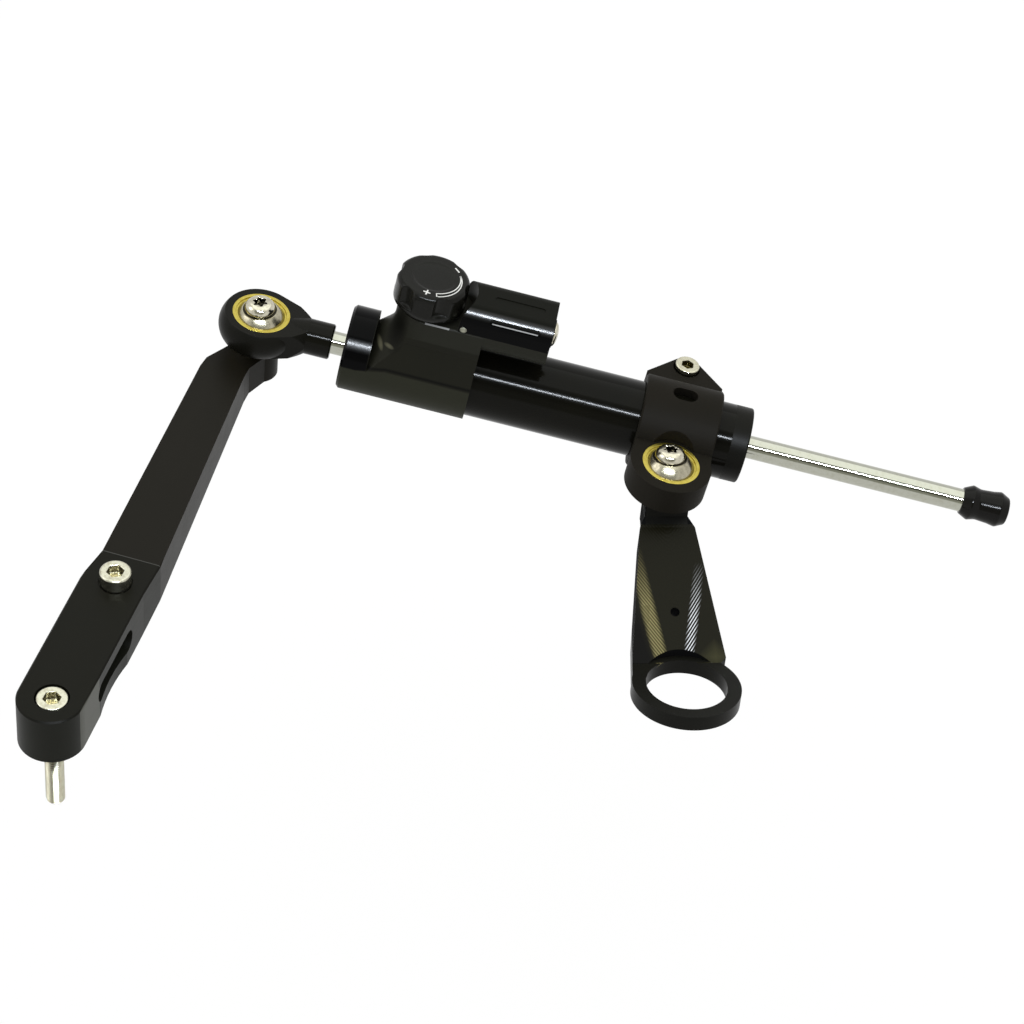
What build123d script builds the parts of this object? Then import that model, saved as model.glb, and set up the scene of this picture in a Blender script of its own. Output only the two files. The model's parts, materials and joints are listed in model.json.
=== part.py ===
from build123d import *
import math
import os

os.makedirs("parts", exist_ok=True)

# Motorcycle steering damper, in millimetres. Everything is drawn in the damper's own axes first:
# the barrel lies along +X, the ball joints stand along +Z, and the centre of the first ball is zero.
# The frame arm and the stem bracket hang on their balls, each leaning a little in its joint.

# Clearances shared by every fit
running_clearance = 0.05
ball_clearance = 0.08
part_clearance = 0.3
overrun = 60.0

# Screws
m6_radius = 3.0
m6_shank_radius = 2.8
m6_head_radius = 5.0
m6_head_height = 6.0
m6_socket_radius = 2.85
m6_socket_depth = 3.2
m6_chamfer = 0.6
m5_radius = 2.5
m5_shank_radius = 2.3
m5_head_radius = 4.25
m5_head_height = 5.0
m5_socket_radius = 2.3
m5_socket_depth = 2.5
m5_chamfer = 0.4
button_radius = 5.25
button_height = 3.3
button_rim = 0.5
button_crown_radius = 2.7
button_length = 25.0
lobe_ring_radius = 1.3
lobe_radius = 0.5
lobe_depth = 1.7
screw_tip = 0.9
thread_relief = 0.5

# Ball joints
ball_radius = 9.0
ball_height = 13.0
race_radius = 10.0
race_mouth_radius = 8.2
race_seat_depth = 0.6
eye_height = 10.0
eye_radius = 14.1
eye_crown = 1.6
spacer_radius = 5.6
spacer_height = 3.0

# Rod, rod end and bumper
rod_radius = 4.0
rod_start = 14.0
rod_length = 246.0
rod_end_neck_radius = 6.2
rod_end_neck_start = 17.0
rod_end_neck_end = 25.8
rod_end_chamfer = 0.5
bumper_start = 250.5
bumper_length = 16.4
bumper_radius = 6.2
bumper_waist_radius = 5.7
bumper_collar = 4.2
bumper_waist = 3.0
bumper_round = 2.2

# Piston
piston_centre = 146.0
piston_length = 10.0
piston_radius = 10.5
piston_ring_width = 4.0
piston_ring_depth = 1.6

# Barrel and its two rod guides
tube_radius = 13.2
tube_wall = 2.2
tube_start = 46.0
tube_end = 172.6
tube_chamfer = 0.6
guide_length = 10.0
guide_radius = 8.0
right_guide_start = 158.8
seal_radius = 7.0
seal_length = 3.0
oring_radius = 0.9
oring_centre = 162.1
circlip_width = 1.2
circlip_depth = 0.9
circlip_gap = 4.0
circlip_recess = 1.6

# Head block with its valve tower and fluid reservoir
head_start = 30.4
head_end = 75.6
head_radius = 14.7
head_chamfer = 0.9
collar_end = 39.6
facet_height = 4.6
tower_half_width = 10.1
tower_top = 27.0
knob_x = 54.7
flare_top = 22.0
flare_waist = 15.5
flare_bend = (13.5, 12.8)
flare_end = (22.0, 1.35)
tower_edge = 0.4
reservoir_end = 97.9
reservoir_half_width = 10.0
reservoir_top = 36.5
reservoir_bottom = 19.0
reservoir_round = 5.5
reservoir_cut_radius = 15.6
groove_length = 17.5
groove_width = 2.2
groove_depth = 0.25
shoulder_groove_depth = 0.9
groove_start = 76.3
groove_lean = 60.0
reservoir_bore_radius = 3.8
reservoir_bore_depth = 22.0
plug_radius = 4.2
plug_depth = 3.0
plug_dome = 1.5
plug_seal_radius = 4.8
plug_seal_height = 0.5
passage_plug_radius = 1.2
passage_plug_length = 4.0
passage_plug_x = 68.3
passage_plug_z = 28.1
passage_plug_dome = 0.5

# Adjuster
knob_radius = 12.4
knob_bottom = 29.4
knob_top = 39.4
knob_flutes = 6
knob_flute_radius = 4.6
knob_flute_depth = 1.4
knob_first_flute = -67.0
knob_ledge = 2.0
knob_rim = 2.0
knob_neck_radius = 8.6
knob_recess_radius = 8.0
knob_recess_depth = 0.3
knob_bore_depth = 7.0
spindle_radius = 3.0
spindle_bottom = 14.0
spindle_collar_radius = 5.0
spindle_collar_height = 2.0
spindle_collar_drop = 5.0
spindle_port_radius = 0.8
spindle_port_rise = 2.2
detent_ring_radius = 6.2
plunger_radius = 1.6
plunger_length = 4.5
detent_ball_radius = 1.1
detent_rise = 0.5
grub_radius = 1.5
grub_length = 8.0
grub_rise = 3.4
grub_socket_radius = 0.8

# Barrel clamp with the second eye
clamp_width = 27.0
clamp_wall = 3.0
clamp_edge = 0.5
ball_2_x = 147.6
ball_2_y = -23.6
ear_top = 8.2
ear_gap = 2.0
ear_base_y = 16.8
ear_round = 5.3
ear_flank_x = 3.8
ear_flank_y = 26.9
pinch_y = 23.2
pinch_head_proud = 1.8
pinch_length = 12.0
pinch_shank_length = 2.0
pinch_head_gap = 0.5
window_length = 8.8
window_width = 6.0
spot_radius = 10.9

# Frame arm, in its own axes: it runs along -Y from the ball and lies under it
arm_top = 6.65
arm_seat = ball_height / 2 + spacer_height
arm_upper_bottom = 20.5
arm_crease_bottom = 21.7
arm_lower_bottom = 24.2
arm_screw_1_reach = 180.6
arm_screw_2_reach = 128.4
arm_screw_1_x = 0.3
arm_screw_2_x = -0.6
arm_crease_reach = 116.6
arm_jog_reach = 130.0
arm_bend_reach = 18.0
arm_neck_reach = 13.0
arm_boss_radius = 6.8
arm_boss_left = (-5.5, 4.0)
arm_boss_right = (4.2, -5.35)
arm_lower_width = 21.2
arm_crease_width = 19.6
arm_upper_width = 16.0
arm_upper_shift = 6.65
arm_jog = 1.2
arm_shoulder = 0.4
arm_edge = 0.5
arm_screw_1_length = 40.0
arm_screw_2_length = 30.0
arm_counterbore_depth = 6.2
arm_screw_2_proud = 5.0
arm_counterbore_radius = 5.4
arm_screw_hole_radius = 3.2
arm_slot_length = 29.0
arm_slot_height = 8.0
arm_slot_reach = 154.4
arm_slot_drop = 15.0
arm_scallop_depth = 1.6
arm_tilt = (0.5, -6.9, -8.5)

# Stem bracket, in its own axes: it runs along -Y and down from the second ball
ring_radius = 13.6
ring_wall = 4.7
ring_height = 5.2
ring_reach = 61.2
ring_drop = 43.9
pad_half_width = 7.5
pad_front = 5.6
pad_bottom = 19.0
face_top_reach = 8.6
face_top_drop = 16.2
face_bottom_reach = 49.0
face_left = 9.4
face_right = 9.8
face_low_right = 16.0
face_low_right_reach = 47.5
under_reach = 36.0
neck_round = 2.5
bracket_spot_radius = 16.2
witness_hole_radius = 1.6
witness_hole_reach = 34.0
bracket_tilt = (-12.9, -5.0, 15.1)

# Places that follow from the sizes above
tube_bore = tube_radius - tube_wall
clamp_radius = tube_radius + clamp_wall
clamp_start = ball_2_x - clamp_width / 2
rod_end = rod_start + rod_length
bumper_end = bumper_start + bumper_length
arm_place = Location((0, 0, 0), arm_tilt, Extrinsic.XYZ)
bracket_place = Location((ball_2_x, ball_2_y, 0), bracket_tilt, Extrinsic.XYZ)
stud_root = arm_place * Pos(arm_screw_1_x, -arm_screw_1_reach, -arm_lower_bottom - thread_relief)
origin_shift = Pos(*(-stud_root.position))
passage_seat = Location((passage_plug_x, passage_plug_length - tower_half_width, passage_plug_z), (0, 0, -90))
upright = (Align.CENTER, Align.CENTER, Align.MIN)


def post(radius, bottom, top, x=0.0, y=0.0):
    """A cylinder along Z between two heights."""
    return Pos(x, y, bottom) * Cylinder(radius, top - bottom, align=upright)


def bar(radius, start, end, y=0.0, z=0.0):
    """A cylinder along X between two stations."""
    return Pos(start, y, z) * Rot(0, 90, 0) * Cylinder(radius, end - start, align=upright)


def turned_x(points):
    """A turning about the X axis, from (station, radius) points."""
    return revolve(make_face(Polyline(*points, close=True)), Axis.X)


def domed_x(points, rise):
    """A turning about the X axis whose last point is closed by a dome."""
    station, radius = points[-1]
    dome_radius = (radius ** 2 + rise ** 2) / (2 * rise)
    centre = station + rise - dome_radius
    half_angle = math.asin(radius / dome_radius) / 2
    middle = (centre + dome_radius * math.cos(half_angle), dome_radius * math.sin(half_angle))
    dome = ThreePointArc((station, radius), middle, (station + rise, 0))
    rest = Polyline((station + rise, 0), *points)
    return revolve(make_face([dome] + rest.edges()), Axis.X)


def turned_z(points):
    """A turning about the Z axis, from (radius, height) points."""
    outline = [(radius, 0, height) for radius, height in points]
    return revolve(make_face(Polyline(*outline, close=True)), Axis.Z)


def cap_screw(radius, head_radius, head_height, socket_radius, socket_depth, chamfer_size, length,
              shank_radius, shank_length):
    """A socket cap screw whose head seat is at zero, with a plain shank above its thread."""
    head = turned_z([(0, 0), (head_radius, 0), (head_radius, head_height - chamfer_size),
                     (head_radius - chamfer_size, head_height), (0, head_height)])
    shank = turned_z([(0, 0), (shank_radius, 0), (shank_radius, -shank_length),
                      (radius, -shank_length), (radius, screw_tip - length),
                      (radius - screw_tip, -length), (0, -length)])
    socket = Pos(0, 0, head_height - socket_depth) * extrude(RegularPolygon(socket_radius, 6), overrun)
    return head + shank - socket


def button_screw():
    """A six-lobe button head screw whose head seat is at zero."""
    rim = Line((0, 0, 0), (button_radius, 0, 0))
    side = Line((button_radius, 0, 0), (button_radius, 0, button_rim))
    start_slope = (-(button_rim / button_radius), 0, 1)
    dome = TangentArc((button_radius, 0, button_rim), (button_crown_radius, 0, button_height),
                      tangent=start_slope)
    crown = Line((button_crown_radius, 0, button_height), (0, 0, button_height))
    axis_line = Line((0, 0, button_height), (0, 0, 0))
    head = revolve(make_face([rim, side, dome, crown, axis_line]), Axis.Z)
    shank = turned_z([(0, 0), (m6_radius, 0), (m6_radius, screw_tip - button_length),
                      (m6_radius - screw_tip, -button_length), (0, -button_length)])
    lobes = Circle(lobe_ring_radius) + PolarLocations(lobe_ring_radius, 6) * Circle(lobe_radius)
    socket = Pos(0, 0, button_height - lobe_depth) * extrude(lobes, overrun)
    return head + shank - socket


def ball():
    """The bored ball, flat on both sides."""
    flats = Box(4 * ball_radius, 4 * ball_radius, ball_height)
    return (Sphere(ball_radius) & flats) - post(m6_radius + running_clearance, -overrun, overrun)


def race():
    """The race ring that grips the ball, with a wide mouth on both faces."""
    half = eye_height / 2
    seat = half - race_seat_depth
    hollow = ball_radius + ball_clearance
    seat_radius = math.sqrt(hollow ** 2 - seat ** 2)
    profile = Polyline((race_mouth_radius, 0, half), (race_radius, 0, half), (race_radius, 0, -half),
                       (race_mouth_radius, 0, -half), (seat_radius, 0, -seat))
    cup = ThreePointArc((seat_radius, 0, -seat), (hollow, 0, 0), (seat_radius, 0, seat))
    lip = Line((seat_radius, 0, seat), (race_mouth_radius, 0, half))
    return revolve(make_face(profile.edges() + [cup, lip]), Axis.Z)


def spacer():
    """The washer between a ball and what its screw pulls it against."""
    washer = post(spacer_radius, -arm_seat, -ball_height / 2)
    return washer - post(m6_radius, -overrun, overrun)


def rod_end_housing():
    """The eye that holds the first race, with tapered flanks and a round neck for the rod."""
    half = eye_height / 2
    edge_radius = eye_radius - eye_crown
    crown = ThreePointArc((edge_radius, 0, -half), (eye_radius, 0, 0), (edge_radius, 0, half))
    rest = Polyline((edge_radius, 0, half), (0, 0, half), (0, 0, -half), (edge_radius, 0, -half))
    eye = revolve(make_face([crown] + rest.edges()), Axis.Z)
    lean = math.acos((edge_radius - rod_end_neck_radius) / rod_end_neck_start)
    touch_x = edge_radius * math.cos(lean)
    touch_y = edge_radius * math.sin(lean)
    flank = Polyline((touch_x, touch_y), (rod_end_neck_start, rod_end_neck_radius),
                     (rod_end_neck_start, -rod_end_neck_radius), (touch_x, -touch_y), close=True)
    cone = turned_x([(0, 0), (0, edge_radius + rod_end_neck_radius),
                     (rod_end_neck_start, rod_end_neck_radius), (rod_end_neck_start, 0)])
    web = Pos(0, 0, -half) * extrude(make_face(flank), eye_height) & cone
    edge = rod_end_chamfer
    neck = turned_x([(race_radius, 0), (race_radius, half), (rod_end_neck_start - edge, rod_end_neck_radius),
                     (rod_end_neck_end - edge, rod_end_neck_radius),
                     (rod_end_neck_end, rod_end_neck_radius - edge), (rod_end_neck_end, 0)])
    body = eye + web + neck
    return body - post(race_radius, -overrun, overrun) - bar(rod_radius, rod_start, overrun)


def piston_rod():
    """The through rod, with its ends chamfered."""
    return turned_x([(rod_start, 0), (rod_start, rod_radius - screw_tip), (rod_start + screw_tip, rod_radius),
                     (rod_end - screw_tip, rod_radius), (rod_end, rod_radius - screw_tip), (rod_end, 0)])


def rod_bumper():
    """The rubber stop pushed over the free end of the rod."""
    collar_end_x = bumper_start + bumper_collar
    waist_end_x = collar_end_x + bumper_waist
    straight = bumper_end - bumper_round
    body = turned_x([(bumper_start, 0), (bumper_start, bumper_waist_radius),
                     (bumper_start + oring_radius, bumper_radius), (collar_end_x, bumper_radius),
                     (collar_end_x + oring_radius, bumper_waist_radius), (waist_end_x, bumper_waist_radius),
                     (waist_end_x + oring_radius, bumper_radius), (straight, bumper_radius), (straight, 0)])
    nose_rest = Polyline((bumper_end, bumper_radius - bumper_round), (bumper_end, 0), (straight, 0),
                         (straight, bumper_radius))
    nose_arc = CenterArc((straight, bumper_radius - bumper_round), bumper_round, 0, 90)
    nose = revolve(make_face([nose_arc] + nose_rest.edges()), Axis.X)
    return body + nose - bar(rod_radius, 0, rod_end)


def piston():
    """The piston on the rod, grooved for its ring."""
    half = piston_length / 2
    ring_half = piston_ring_width / 2
    floor = piston_radius - piston_ring_depth
    body = bar(piston_radius, piston_centre - half, piston_centre + half)
    groove = bar(overrun, piston_centre - ring_half, piston_centre + ring_half)
    groove -= bar(floor, 0, overrun * 4)
    return body - groove - bar(rod_radius, 0, overrun * 4)


def piston_ring():
    """The ring that slides in the tube and lets the rod turn inside it."""
    half = piston_ring_width / 2 - running_clearance
    outer = bar(tube_bore - running_clearance, piston_centre - half, piston_centre + half)
    return outer - bar(piston_radius - piston_ring_depth + running_clearance, 0, overrun * 4)


def head_section():
    """Half of the head block's section: round below, leaning facets above, then upright walls."""
    lean = math.asin(facet_height / head_radius)
    facet_y = head_radius * math.cos(lean)
    shoulder = facet_height + (facet_y - tower_half_width) / math.tan(lean)
    return facet_y, shoulder


def valve_tower():
    """The body under the knob: a bar with leaning facets."""
    facet_y, shoulder = head_section()
    right = [(facet_y, facet_height), (tower_half_width, shoulder),
             (tower_half_width, tower_top - tower_edge), (tower_half_width - tower_edge, tower_top)]
    left = [(-y, z) for y, z in reversed(right)]
    section = Plane.YZ.offset(collar_end) * make_face(Polyline(*right, *left, close=True))
    return extrude(section, head_end - collar_end)


def flare():
    """What is cut away round the tower's left end: it leaves a round post with a flared foot."""
    curve = Bezier((tower_half_width, 0, flare_top), (tower_half_width, 0, flare_waist),
                   (flare_bend[0], 0, flare_bend[1]), (flare_end[0], 0, flare_end[1]))
    rest = Polyline((flare_end[0], 0, flare_end[1]), (overrun, 0, flare_end[1]), (overrun, 0, overrun),
                    (tower_half_width, 0, overrun), (tower_half_width, 0, flare_top))
    tool = revolve(make_face([curve] + rest.edges()), Axis.Z)
    reach = knob_x - collar_end
    half_space = Box(reach, 2 * overrun, 2 * overrun, align=(Align.MAX, Align.CENTER, Align.CENTER))
    return Pos(knob_x, 0, 0) * (tool & half_space)


def reservoir_body():
    """The fluid chamber beside the knob, with long shallow grooves in its top and front shoulder."""
    height = reservoir_top - reservoir_bottom
    middle = (reservoir_top + reservoir_bottom) / 2
    outline = Plane.YZ.offset(knob_x) * Pos(0, middle) * RectangleRounded(
        2 * reservoir_half_width, height, reservoir_round)
    body = extrude(outline, reservoir_end - knob_x)
    body -= Pos(knob_x, 0, 0) * Cylinder(reservoir_cut_radius, overrun * 2)
    centre = groove_start + groove_length / 2
    slot = extrude(SlotOverall(groove_length, groove_width), overrun)
    top = Pos(centre, 0, reservoir_top - groove_depth) * slot
    corner_y = reservoir_half_width - reservoir_round
    corner_z = reservoir_top - reservoir_round
    turn = Location((centre, -corner_y, corner_z), (groove_lean, 0, 0))
    return body - top - turn * Pos(0, 0, reservoir_round - shoulder_groove_depth) * slot


def head_block():
    """Head block, valve tower and reservoir, machined from one piece."""
    sleeve = turned_x([(head_start, 0), (head_start, head_radius - head_chamfer),
                       (head_start + head_chamfer, head_radius), (head_end, head_radius), (head_end, 0)])
    body = sleeve + valve_tower() + reservoir_body()
    body -= flare()
    body -= bar(tube_radius, tube_start, overrun * 4) & Box(overrun * 4, 4 * head_radius, 2 * tube_radius)
    body -= bar(guide_radius, tube_start - guide_length, tube_start)
    body -= bar(rod_radius + part_clearance, 0, overrun)
    seal_start = head_start + part_clearance
    body -= bar(seal_radius, 0, seal_start + seal_length)
    body -= post(spindle_radius + running_clearance, spindle_bottom - running_clearance, overrun, knob_x)
    collar_top = tower_top - spindle_collar_drop
    body -= post(spindle_collar_radius + running_clearance,
                 collar_top - spindle_collar_height - running_clearance, overrun, knob_x)
    body -= post(plunger_radius, tower_top - plunger_length, overrun, knob_x - detent_ring_radius)
    body -= bar(reservoir_bore_radius, reservoir_end - reservoir_bore_depth, overrun * 4, z=middle_height())
    body -= bar(plug_radius, reservoir_end - plug_depth, overrun * 4, z=middle_height())
    return body - passage_seat * bar(passage_plug_radius, 0, passage_plug_length)


def middle_height():
    """Height of the reservoir's bore."""
    return (reservoir_top + reservoir_bottom) / 2


def passage_plug():
    """The pressed plug in the tower's front wall, with a low dome."""
    outline = [(0, 0), (0, passage_plug_radius), (passage_plug_length, passage_plug_radius)]
    return passage_seat * domed_x(outline, passage_plug_dome)


def reservoir_plug():
    """The domed plug that closes the reservoir's right end."""
    start = reservoir_end - plug_depth
    face = reservoir_end + plug_seal_height
    neck_radius = plug_radius - plug_seal_height
    outline = [(start, 0), (start, plug_radius), (reservoir_end, plug_radius), (reservoir_end, neck_radius),
               (face, neck_radius), (face, plug_radius)]
    return Pos(0, 0, middle_height()) * domed_x(outline, plug_dome)


def reservoir_seal():
    """The sealing ring under the reservoir plug's dome."""
    ring = bar(plug_seal_radius, reservoir_end, reservoir_end + plug_seal_height)
    ring -= bar(plug_radius - plug_seal_height, 0, overrun * 4)
    return Pos(0, 0, middle_height()) * ring


def reservoir_bladder():
    """The foam bladder that takes up the fluid's expansion."""
    start = reservoir_end - reservoir_bore_depth
    end = reservoir_end - plug_depth
    return bar(reservoir_bore_radius - part_clearance, start, end, z=middle_height())


def barrel_tube():
    """The barrel's tube, with a circlip groove inside its right end."""
    outer = turned_x([(tube_start, 0), (tube_start, tube_radius), (tube_end - tube_chamfer, tube_radius),
                      (tube_end, tube_radius - tube_chamfer), (tube_end, 0)])
    outer -= bar(tube_bore, 0, overrun * 4)
    groove_end = tube_end - circlip_recess
    return outer - bar(tube_bore + circlip_depth, groove_end - circlip_width, groove_end)


def left_guide():
    """The bush that guides the rod inside the head block."""
    bush = bar(guide_radius, tube_start - guide_length, tube_start)
    return bush - bar(rod_radius + running_clearance, 0, overrun * 4)


def right_guide():
    """The bush that closes the tube's right end, grooved for its seal."""
    end = tube_end - circlip_recess - circlip_width
    bush = bar(tube_bore, right_guide_start, end) - bar(rod_radius + running_clearance, 0, overrun * 4)
    bush -= bar(seal_radius, end - seal_length, end)
    groove = bar(overrun, oring_centre - oring_radius, oring_centre + oring_radius)
    return bush - (groove - bar(tube_bore - 2 * oring_radius, 0, overrun * 4))


def guide_oring():
    """The ring that seals the right guide in the tube."""
    return Pos(oring_centre, 0, 0) * Rot(0, 90, 0) * Torus(tube_bore - oring_radius, oring_radius)


def rod_seal(start):
    """A lip seal round the rod."""
    seal = bar(seal_radius, start, start + seal_length)
    return seal - bar(rod_radius + running_clearance, 0, overrun * 4)


def circlip():
    """The split ring that holds the right guide in the tube."""
    end = tube_end - circlip_recess
    ring = bar(tube_bore + circlip_depth, end - circlip_width, end)
    ring -= bar(seal_radius + circlip_depth, 0, overrun * 4)
    return ring - Pos(end, 0, tube_bore) * Box(overrun, circlip_gap, tube_bore)


def adjuster_knob():
    """The scalloped knob, dished on top, bored for the spindle and grooved below for the detent ball."""
    body = post(knob_radius, knob_bottom, knob_top)
    body = fillet(body.edges().sort_by(Axis.Z)[-1], knob_rim)
    flute_ring = knob_radius + knob_flute_radius - knob_flute_depth
    for flute in PolarLocations(flute_ring, knob_flutes, start_angle=knob_first_flute):
        body -= flute * post(knob_flute_radius, knob_bottom + knob_ledge, knob_top)
    body += post(knob_neck_radius, tower_top + running_clearance, knob_bottom)
    body -= post(knob_recess_radius, knob_top - knob_recess_depth, overrun)
    body -= post(spindle_radius, 0, knob_bottom + knob_bore_depth)
    body -= Pos(0, 0, tower_top) * Torus(detent_ring_radius, detent_ball_radius + ball_clearance)
    hole = Pos(0, 0, knob_bottom + grub_rise) * Rot(-90, 0, 0) * Cylinder(
        grub_radius, overrun, align=upright)
    return Pos(knob_x, 0, 0) * (body - hole)


def knob_grub_screw():
    """The set screw that holds the knob on its spindle."""
    reach = knob_radius - knob_flute_depth
    screw = Cylinder(grub_radius, grub_length - part_clearance, align=upright)
    socket = Pos(0, 0, grub_length / 2) * extrude(RegularPolygon(grub_socket_radius, 6), overrun)
    place = Pos(knob_x, reach - grub_length, knob_bottom + grub_rise) * Rot(-90, 0, 0)
    return place * (screw - socket)


def valve_spindle():
    """The spindle that the knob turns, with a collar and a cross port."""
    shaft = post(spindle_radius, spindle_bottom, knob_bottom + knob_bore_depth)
    collar_top = tower_top - spindle_collar_drop
    collar = post(spindle_collar_radius, collar_top - spindle_collar_height, collar_top)
    port = bar(spindle_port_radius, -overrun, overrun, z=spindle_bottom + spindle_port_rise)
    return Pos(knob_x, 0, 0) * (shaft + collar - port)


def spindle_bush():
    """The ring screwed into the tower that keeps the spindle down."""
    bottom = tower_top - spindle_collar_drop + running_clearance
    ring = post(spindle_collar_radius + running_clearance, bottom, tower_top)
    ring -= post(spindle_radius + running_clearance, 0, overrun)
    return Pos(knob_x, 0, 0) * ring - post(plunger_radius, 0, overrun, knob_x - detent_ring_radius)


def detent_plunger():
    """The sprung sleeve that carries the detent ball."""
    sleeve = post(plunger_radius, tower_top - plunger_length, tower_top - detent_rise)
    pocket = Pos(0, 0, tower_top) * Sphere(detent_ball_radius)
    return Pos(knob_x - detent_ring_radius, 0, 0) * (sleeve - pocket)


def detent_ball():
    """The ball that clicks into the underside of the knob."""
    return Pos(knob_x - detent_ring_radius, 0, tower_top) * Sphere(detent_ball_radius)


def barrel_clamp():
    """The split band round the barrel, with ears at the back and the second eye at the front."""
    half = eye_height / 2
    end = clamp_start + clamp_width
    band = turned_x([(clamp_start, 0), (clamp_start, clamp_radius - clamp_edge),
                     (clamp_start + clamp_edge, clamp_radius), (end - clamp_edge, clamp_radius),
                     (end, clamp_radius - clamp_edge), (end, 0)])
    ear = Polyline((-clamp_width / 2, 0), (-clamp_width / 2, ear_base_y), (-ear_flank_x, ear_flank_y),
                   (ear_flank_x, ear_flank_y), (clamp_width / 2, ear_base_y), (clamp_width / 2, 0),
                   close=True)
    tip = Pos(0, pinch_y) * Circle(ear_round)
    plate = extrude(make_face(ear) + tip, 2 * ear_top)
    ears = Pos(ball_2_x, 0, -ear_top) * plate
    eye = post(eye_radius, -half, half, ball_2_x, ball_2_y)
    web = Pos(ball_2_x, ball_2_y / 2, 0) * Box(clamp_width, -ball_2_y, eye_height)
    body = band + ears + eye + web
    body -= post(spot_radius, half, overrun, ball_2_x, ball_2_y)
    body -= bar(tube_radius, 0, overrun * 4)
    body -= Pos(ball_2_x, 0, 0) * Box(overrun, overrun * 2, ear_gap,
                                      align=(Align.CENTER, Align.MIN, Align.CENTER))
    body -= post(race_radius, -overrun, overrun, ball_2_x, ball_2_y)
    body -= Pos(ball_2_x, 0, 0) * extrude(SlotOverall(window_length, window_width), overrun)
    seat = ear_top + pinch_head_proud - m5_head_height
    body -= post(m5_head_radius + pinch_head_gap, seat, overrun, ball_2_x, pinch_y)
    return body - post(m5_radius, -overrun, overrun, ball_2_x, pinch_y)


def pinch_bolt():
    """The screw that draws the clamp's ears together."""
    screw = cap_screw(m5_radius, m5_head_radius, m5_head_height, m5_socket_radius, m5_socket_depth,
                      m5_chamfer, pinch_length, m5_shank_radius, pinch_shank_length)
    return Pos(ball_2_x, pinch_y, ear_top + pinch_head_proud - m5_head_height) * screw


def arm_plan():
    """The arm's outline seen along its screws."""
    upper_left = -arm_upper_shift - arm_upper_width / 2
    upper_right = -arm_upper_shift + arm_upper_width / 2
    half_crease = arm_crease_width / 2
    half_lower = arm_lower_width / 2
    outline = Polyline((-half_crease, -arm_crease_reach), (upper_left, -arm_bend_reach),
                       (upper_left + arm_shoulder, -arm_neck_reach), arm_boss_left, arm_boss_right,
                       (upper_right, -arm_neck_reach), (upper_right, -arm_bend_reach),
                       (half_crease, -arm_crease_reach), (half_lower - arm_jog, -arm_jog_reach),
                       (half_lower, -arm_screw_1_reach),
                       (-half_lower, -arm_screw_1_reach), (-half_lower - arm_jog, -arm_jog_reach), close=True)
    face = make_face(outline)
    foot = Pos(0, -arm_screw_1_reach) * Circle(half_lower)
    return face + foot + Circle(arm_boss_radius)


def arm_side():
    """The arm's outline seen from the side: a rising upper run and a thicker foot."""
    far = arm_screw_1_reach + arm_lower_width
    near = 2 * arm_boss_radius
    outline = Polyline((near, -arm_seat), (-arm_boss_radius, -arm_seat), (-arm_crease_reach, -arm_top),
                       (-far, -arm_top), (-far, -arm_lower_bottom), (-arm_jog_reach, -arm_lower_bottom),
                       (-arm_crease_reach, -arm_crease_bottom), (near, -arm_upper_bottom), close=True)
    return Plane.YZ * make_face(outline)


def foot_rim(body):
    """The upper edges of the arm's foot, below the jog in its sides."""
    level = body.edges().filter_by(lambda edge: abs(edge.center().Z + arm_top) < running_clearance)
    return level.filter_by(lambda edge: edge.center().Y < -arm_jog_reach)


def frame_arm():
    """The arm that stands on the motorcycle's frame and carries the first ball."""
    plan = Pos(0, 0, -overrun) * extrude(arm_plan(), overrun * 2)
    body = plan & extrude(arm_side(), overrun, both=True)
    body = chamfer(foot_rim(body), arm_edge)
    body -= post(m6_radius, -overrun, 0)
    for x, reach, depth in ((arm_screw_1_x, arm_screw_1_reach, arm_counterbore_depth),
                            (arm_screw_2_x, arm_screw_2_reach, m6_head_height - arm_screw_2_proud)):
        body -= post(arm_counterbore_radius, -arm_top - depth, 0, x, -reach)
        body -= post(arm_screw_hole_radius, -overrun, 0, x, -reach)
    slot = Plane.YZ * SlotOverall(arm_slot_length, arm_slot_height)
    body -= Pos(0, -arm_slot_reach, -arm_slot_drop) * extrude(slot, overrun, both=True)
    chord = arm_slot_length / 2
    scallop_radius = (chord ** 2 + arm_scallop_depth ** 2) / (2 * arm_scallop_depth)
    for side in (-1, 1):
        centre_x = side * (arm_lower_width / 2 - arm_scallop_depth + scallop_radius)
        body -= post(scallop_radius, -overrun, -arm_slot_drop, centre_x, -arm_slot_reach)
    return arm_place * body


def arm_screw(x, reach, depth, length):
    """One of the two screws that hold the arm on the frame. Its thread starts just below the arm."""
    shank_length = arm_lower_bottom + thread_relief - arm_top - depth
    screw = cap_screw(m6_radius, m6_head_radius, m6_head_height, m6_socket_radius, m6_socket_depth,
                      m6_chamfer, length, m6_shank_radius, shank_length)
    return arm_place * Pos(x, -reach, -arm_top - depth) * screw


def bracket_plan():
    """The bracket's outline seen along its bolt."""
    outer = ring_radius + ring_wall
    outline = Polyline((-pad_half_width, 0), (-pad_half_width, -pad_front), (-face_left, -face_top_reach),
                       (-outer, -ring_reach), (0, -ring_reach), (face_low_right, -face_low_right_reach),
                       (face_right, -face_top_reach), (pad_half_width, -pad_front), (pad_half_width, 0),
                       close=True)
    ring = Pos(0, -ring_reach) * Circle(outer)
    return make_face(outline) + ring + Circle(pad_half_width)


def bracket_side():
    """The bracket's outline seen from the side: pad, sloping face and ring."""
    far = ring_reach + 2 * (ring_radius + ring_wall)
    back = 2 * pad_half_width
    outline = Polyline((back, -arm_seat), (-pad_front, -arm_seat), (-pad_front, -face_top_drop + neck_round),
                       (-face_top_reach, -face_top_drop), (-face_bottom_reach, -ring_drop),
                       (-far, -ring_drop), (-far, -ring_drop - ring_height),
                       (-under_reach, -ring_drop - ring_height), (0, -pad_bottom), (back, -pad_bottom),
                       close=True)
    return Plane.YZ * make_face(outline)


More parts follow.
